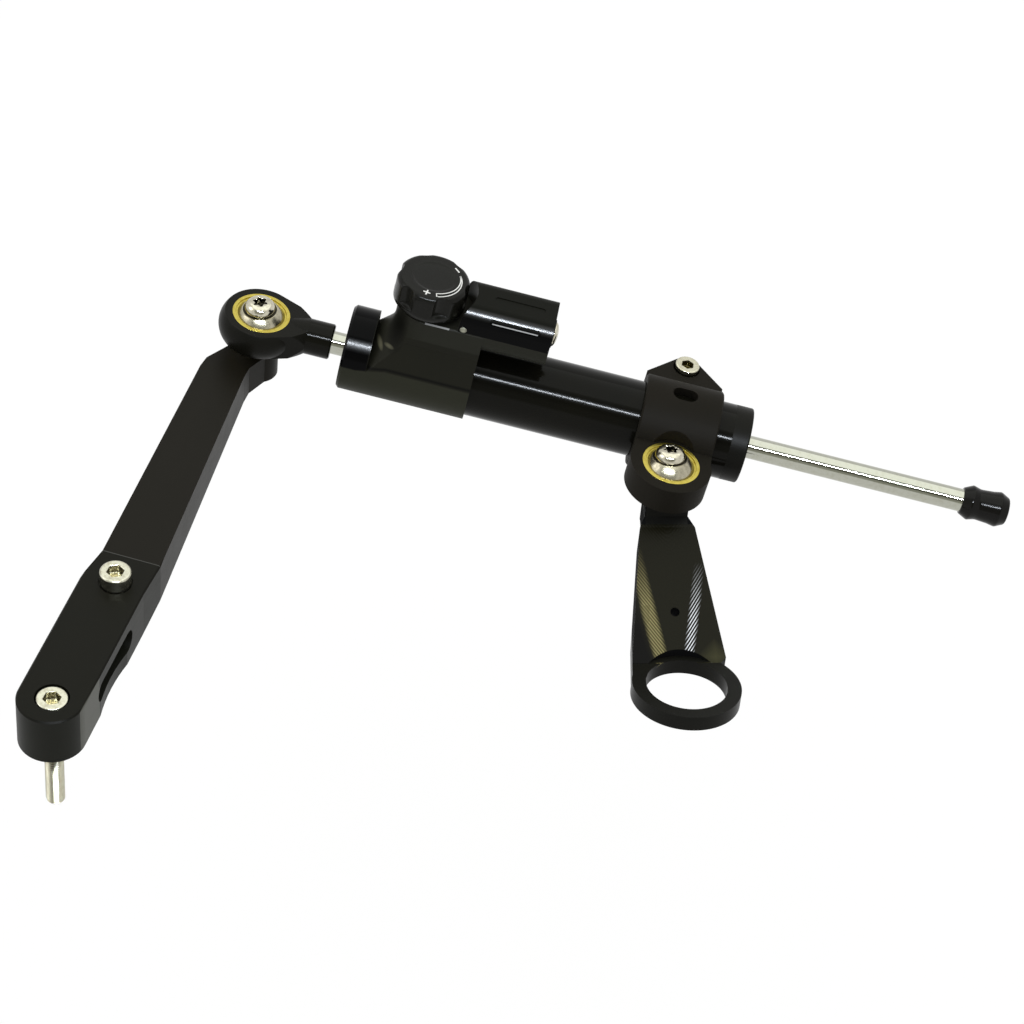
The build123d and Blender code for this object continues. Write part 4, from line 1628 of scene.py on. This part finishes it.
@dataclass
class MountingArm:
    """The arm that stands on the motorcycle's frame, with its two cap screws.

    Args:
        axes: the arm's axes, with their zero in the first ball.
        palette: the shared finishes.
        top: how far under the ball the foot's top lies.
        head_height: height of the screws' heads.
        screws: name, x, reach from the ball, depth of the seat and length of each screw.
    """

    frame: dict
    axes: Axes
    palette: Palette
    top: float = 6.65
    head_height: float = 6.0
    screws: tuple = (("lower", 0.3, 180.6, 6.2, 40.0), ("upper", -0.6, 128.4, 1.0, 30.0))

    def build(self) -> None:
        """Makes the screws and finishes the arm."""
        black = ArmBlack("arm_black", (0.0052, 0.0054, 0.003), "black_anodised", self.axes, roughness=0.42,
                         streak=(3.0, 0.04, 3.0))
        dress(self.frame, {"frame_arm": black})
        for name, x, reach, sunk, length in self.screws:
            seat = self.axes.moved(x=x, y=-reach, z=-self.top - sunk)
            # Painted shade in each screw's socket and in its thread's roots.
            steel = self.palette.steel(
                f"{name}_screw_steel", seat, tone=(0.52, 0.51, 0.41), roughness=0.24, pit_radius=2.7,
                pit_top=self.head_height - 0.3, pit_tone=(0.22, 0.2, 0.13), root=2.75)
            screw = CapScrew(f"arm_{name}_screw", thread=3.0, pitch=1.0, length=length, head=5.0,
                             height=self.head_height, socket=2.5, depth=3.2)
            settle(screw.build(seat, steel), "arm", steel, f"frame_screw_{name}")


@dataclass
class RodAndBumper:
    """The through rod with its eye, its rubber stop and the piston.

    Args:
        axes: the damper's axes.
        palette: the shared finishes.
        radius: the rod's radius.
        start: where the rod starts along the damper.
        end: where it ends.
        chamfer: the chamfer at its ends.
        edge: fillet of the chamfer's edge.
        stop: where the rubber stop starts.
        reach: the stop's length.
        hole: radius of the small hole in its nose.
    """

    frame: dict
    axes: Axes
    palette: Palette
    radius: float = 4.0
    start: float = 14.0
    end: float = 260.0
    chamfer: float = 0.6
    edge: float = 0.2
    stop: float = 250.5
    reach: float = 16.4
    hole: float = 0.6

    def build(self) -> None:
        """Makes the rod and its stop, and finishes the eye and the piston."""
        chrome = Metal("rod_chrome", (0.43, 0.435, 0.375), "chromed_rod", self.axes, stain=(0.38, 0.38, 0.31),
                       roughness=0.09, swing=0.05, lines=0.0015, along=(0.02, 1.0, 1.0))
        inner = self.radius - self.chamfer
        profile = rounded([
            Corner(inner, self.start), Corner(self.radius, self.start + self.chamfer, self.edge),
            Corner(self.radius, self.end - self.chamfer, self.edge), Corner(inner, self.end),
        ])
        rod = Turning.plain("rod_bar", profile).build(self.axes, chrome, Along.X)
        settle(rod, "rod", chrome, "piston_rod")
        rubber = Moulded("bumper_rubber", (0.006, 0.0055, 0.0045), "black_rubber", self.axes, roughness=0.16,
                         waves=0.9, specular=0.12)
        stop = Turning.plain("rod_stop", self.stop_profile(), closed=True)
        settle(stop.build(self.axes, rubber, Along.X, 60.0), "rod", rubber, "rod_bumper")
        dress(self.frame, {
            "rod_end_housing": Stepped("eye_black", (0.0065, 0.0065, 0.0055), "black_anodised", self.axes),
            "piston": self.palette.steel("piston_metal", self.axes, roughness=0.3),
            "piston_ring": self.palette.ring_plastic,
        })

    def stop_profile(self) -> np.ndarray:
        """The stop: a collar that swells to one ridge, a long waist, and a head with a rounded nose."""
        outside = [(4.6, 0.0, 0.5), (6.15, 3.2, 0.9), (5.35, 6.0, 4.0), (5.7, 10.5, 5.0), (6.2, 13.2, 1.4),
                   (4.6, self.reach, 0.9)]
        corners = [Corner(radius, self.stop + along, fillet) for radius, along, fillet in outside]
        nose = [Corner(self.hole, self.stop + self.reach), Corner(self.hole, self.end),
                Corner(self.radius, self.end)]
        return rounded([Corner(self.radius, self.stop), *corners, *nose], True, steps=6, hold=0.05)


@dataclass
class Barrel:
    """The barrel's tube, with its guides and seals.

    Args:
        axes: the damper's axes.
        palette: the shared finishes.
        radius: the tube's radius.
        bore: radius of its bore.
        start: where it starts along the damper.
        end: where it ends.
        edge: fillet of its outer edge.
        chamfer: the chamfer of its bore.
        chamfer_edge: fillet of that chamfer's outer edge.
    """

    frame: dict
    axes: Axes
    palette: Palette
    radius: float = 13.2
    bore: float = 11.0
    start: float = 46.0
    end: float = 172.6
    edge: float = 0.6
    chamfer: float = 0.9
    chamfer_edge: float = 0.2

    def build(self) -> None:
        """Makes the tube and finishes what it holds."""
        black = Stepped("barrel_black", (0.0045, 0.0045, 0.004), "black_anodised", self.axes, roughness=0.12,
                        swing=0.03, grain=0.0015, streak=(3.0, 0.05, 0.05), beyond=0.4, start=166.5)
        profile = rounded([
            Corner(self.bore, self.start), Corner(self.radius, self.start),
            Corner(self.radius, self.end, self.edge),
            Corner(self.bore + self.chamfer, self.end, self.chamfer_edge),
            Corner(self.bore, self.end - self.chamfer),
        ], True)
        tube = Turning.plain("barrel_shell", profile, 160, True).build(self.axes, black, Along.X)
        settle(tube, "barrel", black, "barrel_tube")
        dress(self.frame, {
            "left_rod_guide": self.palette.bronze,
            "right_rod_guide": self.palette.black("guide_black", roughness=0.3),
            "left_rod_seal": self.palette.rubber,
            "right_rod_seal": self.palette.rubber,
            "right_guide_oring": self.palette.rubber,
            "right_circlip": self.palette.steel(
                "circlip_steel", self.axes, roughness=0.35, tone=(0.2, 0.2, 0.21), stain=(0.12, 0.12, 0.12)),
        })


@dataclass
class HeadAndReservoir:
    """The head block with its two plugs, and what the reservoir holds.

    Args:
        axes: the damper's axes.
        palette: the shared finishes.
        end: where the reservoir ends along the damper.
        middle: height of its middle line.
        plug: radius of its plug.
        seal: height and depth of the groove for the plug's seal.
        dome: height of the plug's domed crown.
        sunk: how deep the plug reaches into the reservoir.
    """

    frame: dict
    axes: Axes
    palette: Palette
    end: float = 97.9
    middle: float = 27.75
    plug: float = 4.2
    seal: float = 0.5
    dome: float = 1.5
    sunk: float = 3.0

    def build(self) -> None:
        """Makes the reservoir's plug and finishes the head."""
        place = self.axes.moved(x=self.end, z=self.middle)
        dress(self.frame, {
            "head_block": HeadBlack(
                "head_black", (0.0165, 0.0168, 0.0125), "black_anodised", self.axes, roughness=0.42,
                second_tone=(0.0195, 0.019, 0.0135), swing=0.05, grain=0.002, specular=0.045, gloss=1.0,
                gloss_roughness=0.26),
            "reservoir_plug_seal": self.palette.rubber,
            "reservoir_bladder": self.palette.foam,
            "passage_plug": self.palette.steel(
                "passage_steel", place, roughness=0.3, tone=(0.3, 0.3, 0.24), stain=(0.12, 0.12, 0.1)),
        })
        steel = self.palette.steel("plug_steel", place, roughness=0.16)
        plug = Turning.plain("reservoir_cap", self.plug_profile()).build(place, steel, Along.X)
        settle(plug, "barrel", steel, "reservoir_plug")

    def plug_profile(self) -> np.ndarray:
        """The plug: its stem, the seal's groove, and a crown that is a quarter of an ellipse."""
        neck = self.plug - self.seal
        stem = rounded([Corner(self.plug, -self.sunk), Corner(self.plug, 0), Corner(neck, 0),
                        Corner(neck, self.seal), Corner(self.plug, self.seal)])
        lean = np.linspace(0, math.pi / 2, 14)[1:-1]
        crown = np.column_stack([self.plug * np.cos(lean), self.seal + self.dome * np.sin(lean)])
        return np.vstack([stem, crown])


@dataclass
class Adjuster:
    """The knob that sets the damping, with its marks, and the valve under it.

    Args:
        axes: axes with their zero on the knob's axis at the damper's height.
        palette: the shared finishes.
        radius: the knob's radius.
        bottom: height of its lower edge.
        top: height of its top.
        seat: height of the tower's top, on which it stands.
        neck: radius of its foot.
        stem: radius of the foot's end under the tower's top.
        flutes: how many flutes it has.
        first_flute: angle of the first flute's middle in degrees.
        flute_depth: how deep the flutes cut in.
        flute_radius: their radius.
        ledge: height of the plain ledge under them.
        run_out: height over which they reach their depth, and by how much they start outside the knob.
        rim: radius of the round at the top.
        edge: chamfer of the lower edge.
        sink: how far the flat ring of the top lies below the full height.
        recess: depth of the hollow inside that ring.
        recess_rows: radius and share of that depth of each row into the hollow.
        steps: points round the knob.
        blend: width of the smooth join between the rim and the flutes.
        paint: thickness of the marks' paint.
        paint_bottom: how far below the full height the paint starts.
        sweep_angles: the angles between which the tapering mark runs, in degrees.
        sweep_outer: radii of its outer edge at both ends.
        sweep_inner: radii of its inner edge at both ends.
        sweep_bow: how the outer edge closes in.
        sweep_width: width of its line.
        sign_width: width of the plus and the minus.
        sign_half: half of the length of their bars.
        post_share: the paint of a plus's second bar as a share of the first's, so that they don't fight.
        signs: name, angle, reach and whether it is a plus, for each sign.
    """

    frame: dict
    axes: Axes
    palette: Palette
    radius: float = 12.4
    bottom: float = 29.4
    top: float = 39.4
    seat: float = 27.05
    neck: float = 8.6
    stem: float = 3.0
    flutes: int = 6
    first_flute: float = -67.0
    flute_depth: float = 1.4
    flute_radius: float = 4.6
    ledge: float = 2.0
    run_out: tuple = (0.3, 1.1)
    rim: float = 2.0
    edge: float = 0.25
    sink: float = 0.05
    recess: float = 0.25
    recess_rows: tuple = (
        (9.0, 0.0), (7.7, 0.0), (7.4, 0.24), (7.0, 0.8), (6.5, 1.0), (3.5, 1.0), (0.8, 1.0))
    steps: int = 360
    blend: float = 0.12
    paint: float = 0.04
    paint_bottom: float = 0.06
    sweep_angles: tuple = (-77.0, 23.0)
    sweep_outer: tuple = (10.15, 9.05)
    sweep_inner: tuple = (8.6, 8.95)
    sweep_bow: float = 1.5
    sweep_width: float = 0.38
    sign_width: float = 0.52
    sign_half: float = 1.25
    post_share: float = 0.96
    signs: tuple = (("plus", -98.0, 9.0, True), ("minus", 42.0, 9.2, False))

    def build(self) -> None:
        """Makes the knob and its marks and finishes the valve."""
        gloss = Moulded("knob_black", (0.008, 0.008, 0.0062), "black_plastic", self.axes, roughness=0.24,
                        peel=0.015, waves=0.3, specular=0.12)
        knob = self.body().build(self.axes, gloss, crease=75.0)
        settle(knob, "adjuster", gloss, "adjuster_knob")
        white = Moulded("mark_paint", (0.86, 0.86, 0.84), "black_plastic", self.axes, roughness=0.5,
                        peel=0.004, waves=2.0)
        for mark in self.marks():
            settle(mark.build(self.axes, white), "adjuster", white)
        steel = self.palette.steel("valve_steel", self.axes, roughness=0.25)
        dress(self.frame, {
            "knob_grub_screw": self.palette.steel(
                "grub_steel", self.axes, roughness=0.3, tone=(0.3, 0.3, 0.31)),
            "valve_spindle": steel,
            "spindle_bush": self.palette.bronze,
            "detent_plunger": steel,
            "detent_ball": steel,
        })

    def flute(self, angle: np.ndarray) -> np.ndarray:
        """Radius of the flutes' walls at each angle.

        A flute is a circle f beside the knob, so at the angle a from its middle its wall is at
        d cos a - sqrt(f^2 - d^2 sin^2 a), with d the distance of its centre.

        Args:
            angle: angles round the knob.

        Returns:
            The radius at each of them.
        """
        sector = TURN / self.flutes
        offset = (angle - math.radians(self.first_flute) + sector / 2) % sector - sector / 2
        reach = self.radius + self.flute_radius - self.flute_depth
        inside = np.clip(self.flute_radius ** 2 - (reach * np.sin(offset)) ** 2, 0, None)
        return reach * np.cos(offset) - np.sqrt(inside)

    def body(self) -> Turning:
        """The knob: r(a, z) is the smooth minimum of its rim's round and its flutes, which start on a ledge.

        The smooth minimum of r and s is -b log(exp(-r / b) + exp(-s / b)), with b the blend.
        """
        foot, flat = self.bottom + self.ledge, self.top - self.sink
        wall = np.concatenate([
            [self.bottom, self.bottom + self.edge],
            foot + np.array([-0.25, -0.02, 0.02, 0.1, 0.25, 0.5]),
            np.linspace(foot + 1, self.top - self.rim, 10),
        ])
        outer = np.full(len(wall), self.radius)
        outer[0] = self.radius - self.edge
        bend = np.linspace(0, math.pi / 2, 14)[1:]
        wall = np.concatenate([wall, flat - self.rim + self.rim * np.sin(bend)])
        outer = np.concatenate([outer, self.radius - self.rim * (1 - np.cos(bend))])[:, None]
        height, beside = self.run_out
        rise = np.clip((wall - foot) / height, 0, 1)[:, None] ** 0.5
        cut = self.radius * beside + (self.flute(around(self.steps))[None] - self.radius * beside) * rise
        both = -self.blend * np.logaddexp(-outer / self.blend, -cut / self.blend)
        under = np.array([(self.stem, self.seat), (self.neck, self.seat), (self.neck, self.bottom),
                          (self.radius - 0.8, self.bottom)])
        crown = np.array([(radius, flat - self.recess * share) for radius, share in self.recess_rows])
        return stacked("knob", self.steps, [
            (under[:, :1], under[:, 1]),
            (np.minimum(both, outer), wall),
            (crown[:, :1], crown[:, 1]),
        ])

    def marks(self) -> list:
        """The marks: a tapering arc in outline, with a plus at its wide end and a minus at its point."""
        share = np.linspace(0, 1, 30)
        first, last = self.sweep_angles
        angle = np.radians(first + (last - first) * share)
        start, end = self.sweep_outer
        outer = start + (end - start) * share ** self.sweep_bow
        start, end = self.sweep_inner
        inner = start + (end - start) * share
        ray = np.column_stack([np.cos(angle), np.sin(angle)])
        path = np.vstack([ray * outer[:, None], (ray * inner[:, None])[::-1]])
        lift = self.top - self.paint_bottom
        sweep = Ribbon("knob_mark_sweep", path, self.sweep_width, lift, self.paint, True)
        return [sweep, *(bar for sign in self.signs for bar in self.sign(*sign))]

    def sign(self, name: str, angle: float, reach: float, crossed: bool) -> list:
        """A sign of one or two short bars, turned to face the knob's middle.

        Args:
            name: the sign's name.
            angle: its angle round the knob in degrees.
            reach: its distance from the knob's axis.
            crossed: whether it is a plus.

        Returns:
            Its bars.
        """
        turn = math.radians(angle)
        out = np.array([math.cos(turn), math.sin(turn)])
        side = np.array([-out[1], out[0]])
        lift = self.top - self.paint_bottom
        half = np.linspace(-self.sign_half, self.sign_half, 5)[:, None]
        bars = [Ribbon(f"knob_mark_{name}_bar", out * reach + side * half, self.sign_width, lift, self.paint)]
        if crossed:
            bars.append(Ribbon(f"knob_mark_{name}_post", out * (reach + half), self.sign_width, lift,
                               self.paint * self.post_share))
        return bars


@dataclass
class BarrelClamp:
    """The split band round the barrel, with its pinch bolt.

    Args:
        axes: the damper's axes.
        palette: the shared finishes.
        bolt: x, y and z of the pinch bolt's seat.
    """

    frame: dict
    axes: Axes
    palette: Palette
    bolt: tuple = (147.6, 23.2, 5.0)

    def build(self) -> None:
        """Makes the bolt and finishes the band."""
        black = self.palette.black("clamp_black", tone=(0.0125, 0.0115, 0.0085),
                                   second_tone=(0.017, 0.0145, 0.011), roughness=0.55, specular=0.04)
        dress(self.frame, {"barrel_clamp": black})
        place = self.axes.moved(*self.bolt)
        # Painted shade in the bolt's socket.
        steel = self.palette.steel("pinch_steel", place, tone=(0.56, 0.54, 0.42), pit_radius=2.2, pit_top=4.8,
                                   pit_tone=(0.14, 0.12, 0.05))
        bolt = CapScrew("clamp_bolt", thread=2.5, pitch=0.8, length=12.0, head=4.25, height=5.0, socket=2.0,
                        depth=2.5, rim=0.4)
        settle(bolt.build(place, steel), "barrel", steel, "clamp_pinch_bolt")


@dataclass
class StemBracket:
    """The bracket whose ring goes round the steering stem.

    Args:
        axes: the bracket's axes, with their zero in the second ball.
    """

    frame: dict
    axes: Axes

    def build(self) -> None:
        """Finishes the bracket."""
        dress(self.frame, {"stem_bracket": Milled(
            "bracket_black", (0.0065, 0.0065, 0.0055), "black_anodised", self.axes,
            second_tone=(0.011, 0.011, 0.008), roughness=0.32, swing=0.08, grain=0.006,
            streak=(2.0, 0.05, 2.0))})


# Studio


def show_card(name: str, corners: list, material: bpy.types.Material) -> bpy.types.Object:
    """A flat card that isn't part of the object.

    Args:
        name: the card's name.
        corners: its four corners in the row frame, in metres.
        material: what it is made of.

    Returns:
        The card.
    """
    mesh = bpy.data.meshes.new(name)
    mesh.from_pydata([tuple(corner) for corner in corners], [], [(0, 1, 2, 3)])
    mesh.materials.append(material)
    card = bpy.data.objects.new(name, mesh)
    bpy.context.scene.collection.objects.link(card)
    card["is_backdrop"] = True
    return card


@dataclass(frozen=True)
class Lamp:
    """A square or oblong lamp that looks at the object.

    Args:
        name: the lamp's name.
        place: its place in the row frame, in metres.
        size: its two sides in metres.
        power: its power in watts.
        tint: its colour.
        diffuse: whether it lights matt surfaces too, or is only mirrored.
    """

    name: str
    place: tuple
    size: tuple
    power: float
    tint: tuple = (1.0, 1.0, 1.0)
    diffuse: bool = True


@dataclass
class Studio:
    """Floor, backdrop, lamps and camera.

    The camera stands 3 degrees to the right of the damper's front and looks 44 degrees down, turned so that
    the barrel falls towards the right, with a long lens. Behind it hangs a dark card, which gloss mirrors as
    a dark band with soft edges. The card is darkest round the camera's height, half dark further down and
    pale at its rim.

    Args:
        target: what lamps and card look at, in the row frame, in metres.
        floor_height: height of the floor in metres.
        damper: the damper's axes, in which the camera stands.
        floor_side: length of the floor's sides in metres.
        floor_tone: how pale the floor is.
        floor_glow: light of the floor where it is seen or mirrored, and its share there.
        fill: light of the world on matt surfaces, where 1 is what is seen of it.
        lens: the camera's focal length in millimetres.
        sensor: width of its sensor in millimetres.
        camera_place: its place in the damper's axes.
        camera_turn: its turns about X, Y and Z in degrees.
        far: how far the camera sees, in metres.
        card_place: the card's place in metres.
        card_size: its half width, lower and upper edge from there, in metres.
        side_fade: distances to the side between which its rim comes in, in millimetres.
        upper_fade: the same upward.
        lower_fade: the same downward.
        half_dark: distances downward between which it gets half dark.
        card_tones: its dark, half dark and pale tones.
        lamps: the lamps.
    """

    target: tuple
    floor_height: float
    damper: Axes
    floor_side: float = 6.0
    floor_tone: float = 0.9
    floor_glow: tuple = (1.03, 0.9)
    fill: float = 0.55
    lens: float = 99.547
    sensor: float = 36.0
    camera_place: tuple = (61.00996, -736.84608, 643.03417)
    camera_turn: tuple = (45.32812, -11.66273, 8.14785)
    far: float = 20.0
    card_place: tuple = (0.12, -0.85, 1.25)
    card_size: tuple = (1.4, -1.7, 0.6)
    side_fade: tuple = (800.0, 1350.0)
    upper_fade: tuple = (260.0, 560.0)
    lower_fade: tuple = (1300.0, 1680.0)
    half_dark: tuple = (380.0, 800.0)
    card_tones: tuple = ((0.07, 0.062, 0.035), (0.42, 0.42, 0.37), (0.8, 0.82, 0.78))
    lamps: tuple = (
        Lamp("ceiling", (0.1, 0.5, 1.6), (2.6, 2.2), 15.0, (0.96, 1.0, 0.92)),
        Lamp("left_fill", (-1.3, -0.1, 0.8), (0.8, 0.8), 4.0),
        Lamp("strip", (0.12, -0.62, 1.02), (0.9, 0.04), 24.0, (0.86, 0.92, 1.0), False),
    )

    def build(self) -> None:
        """Makes everything that isn't part of the object."""
        self.backdrop()
        self.floor()
        for lamp in self.lamps:
            self.lamp(lamp)
        self.dark_card()
        self.camera()
        bpy.context.scene.view_settings.view_transform = "Standard"

    def backdrop(self) -> None:
        """A world that is white where it is seen or mirrored and a plain fill light elsewhere."""
        world = bpy.data.worlds.new("studio")
        bpy.context.scene.world = world
        world.use_nodes = True
        graph = Graph(world.node_tree)
        background = graph.tree.nodes["Background"]
        background.inputs["Color"].default_value = (1.0, 1.0, 1.0, 1.0)
        shown = graph.rays("Camera", "Transmission", "Glossy")
        graph.feed(background.inputs["Strength"], shown * (1.0 - self.fill) + self.fill)

    def floor(self) -> None:
        """A plain pale floor that is white where it is seen or mirrored and keeps the object's shadow."""
        half = self.floor_side / 2
        corners = [(x * half, y * half, self.floor_height) for x, y in ((-1, -1), (1, -1), (1, 1), (-1, 1))]
        graph = Surface("floor_white")
        graph.set(Base_Color=(self.floor_tone,) * 3 + (1.0,), Roughness=0.9, Specular_IOR_Level=0.0)
        strength, share = self.floor_glow
        glow = graph.node("ShaderNodeEmission", inputs={"Color": (1.0, 1.0, 1.0, 1.0), "Strength": strength})
        plain = Field(graph, graph.shader.outputs[0])
        shown = graph.rays("Camera", "Glossy") * share
        graph.feed(graph.end, graph.node("ShaderNodeMixShader", inputs={0: shown, 1: plain, 2: glow}))
        show_card("floor", corners, graph.made)

    def lamp(self, lamp: Lamp) -> None:
        """An area lamp turned to the object.

        Args:
            lamp: what the lamp is like.
        """
        data = bpy.data.lights.new(lamp.name, "AREA")
        data.shape = "RECTANGLE"
        data.size, data.size_y = lamp.size
        data.energy = lamp.power
        data.color = lamp.tint
        made = bpy.data.objects.new(lamp.name, data)
        bpy.context.scene.collection.objects.link(made)
        made.visible_diffuse = lamp.diffuse
        made.location = lamp.place
        made.rotation_euler = self.towards(lamp.place)

    def towards(self, place: tuple) -> Euler:
        """The turn that points a lamp's or card's -Z at the target."""
        return (Vector(self.target) - Vector(place)).to_track_quat("-Z", "Y").to_euler()

    def dark_card(self) -> None:
        """The dark card, which only mirrors show."""
        half_width, low, high = self.card_size
        turn = self.towards(self.card_place)
        matrix = Matrix.Translation(self.card_place) @ turn.to_matrix().to_4x4()
        corners = [matrix @ Vector((x, y, 0)) for x, y in (
            (-half_width, low), (half_width, low), (half_width, high), (-half_width, high))]
        graph = Surface("flag_dark")
        axes = Axes(self.card_place, tuple(math.degrees(a) for a in turn))
        x, y, _ = graph.parts(graph.local(axes))
        down = y * -1.0
        rim = x.size().ramp(*self.side_fade).larger(y.ramp(*self.upper_fade))
        rim = rim.larger(down.ramp(*self.lower_fade))
        dark, half_dark, pale = self.card_tones
        tone = graph.mix(down.ramp(*self.half_dark), dark, half_dark)
        soft = rim * rim * (3.0 - rim * 2.0)
        graph.set(Base_Color=(0.0, 0.0, 0.0, 1.0), Roughness=1.0, Specular_IOR_Level=0.0,
                  Emission_Strength=1.0, Emission_Color=graph.mix(soft, tone, pale))
        card = show_card("flag", corners, graph.made)
        card.visible_camera = False
        card.visible_shadow = False
        card.visible_diffuse = False

    def camera(self) -> None:
        """The photograph's camera."""
        data = bpy.data.cameras.new("camera")
        data.lens = self.lens
        data.sensor_width = self.sensor
        data.clip_end = self.far
        camera = bpy.data.objects.new("camera", data)
        bpy.context.scene.collection.objects.link(camera)
        camera.location = self.damper.place(np.array(self.camera_place))
        camera.rotation_euler = [math.radians(a) for a in self.camera_turn]
        bpy.context.scene.camera = camera


def main() -> None:
    """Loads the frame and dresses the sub-assemblies in order."""
    logging.basicConfig(level=logging.INFO, format="%(name)s: %(message)s")
    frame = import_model()
    solid_low, solid_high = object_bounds()
    damper = Axes(centre_of("rod_end_race"))
    second = Axes(centre_of("clamp_race"))
    arm = Axes(damper.origin, ARM_TILT)
    bracket = Axes(second.origin, BRACKET_TILT)
    palette = Palette(damper)
    assemblies = [
        Studio(tuple((solid_low + solid_high) / 2), solid_low.z - FLOOR_DROP, damper),
        MountingArm(frame, arm, palette),
        BallJoint("rod_end", damper, arm, "rod", "first_ball", "arm",
                  ("rod_end_bolt", "rod_end_ball", "rod_end_race", "rod_end_spacer"), palette),
        RodAndBumper(frame, damper, palette),
        Barrel(frame, damper, palette),
        HeadAndReservoir(frame, damper, palette),
        Adjuster(frame, damper.moved(x=KNOB_REACH), palette),
        BarrelClamp(frame, damper, palette),
        BallJoint("clamp", second, bracket, "barrel", "second_ball", "bracket",
                  ("clamp_ball_bolt", "clamp_ball", "clamp_race", "clamp_ball_spacer"), palette),
        StemBracket(frame, bracket),
    ]
    for assembly in assemblies:
        assembly.build()
        log.info("built %s", type(assembly).__name__)


if __name__ == "__main__":
    main()
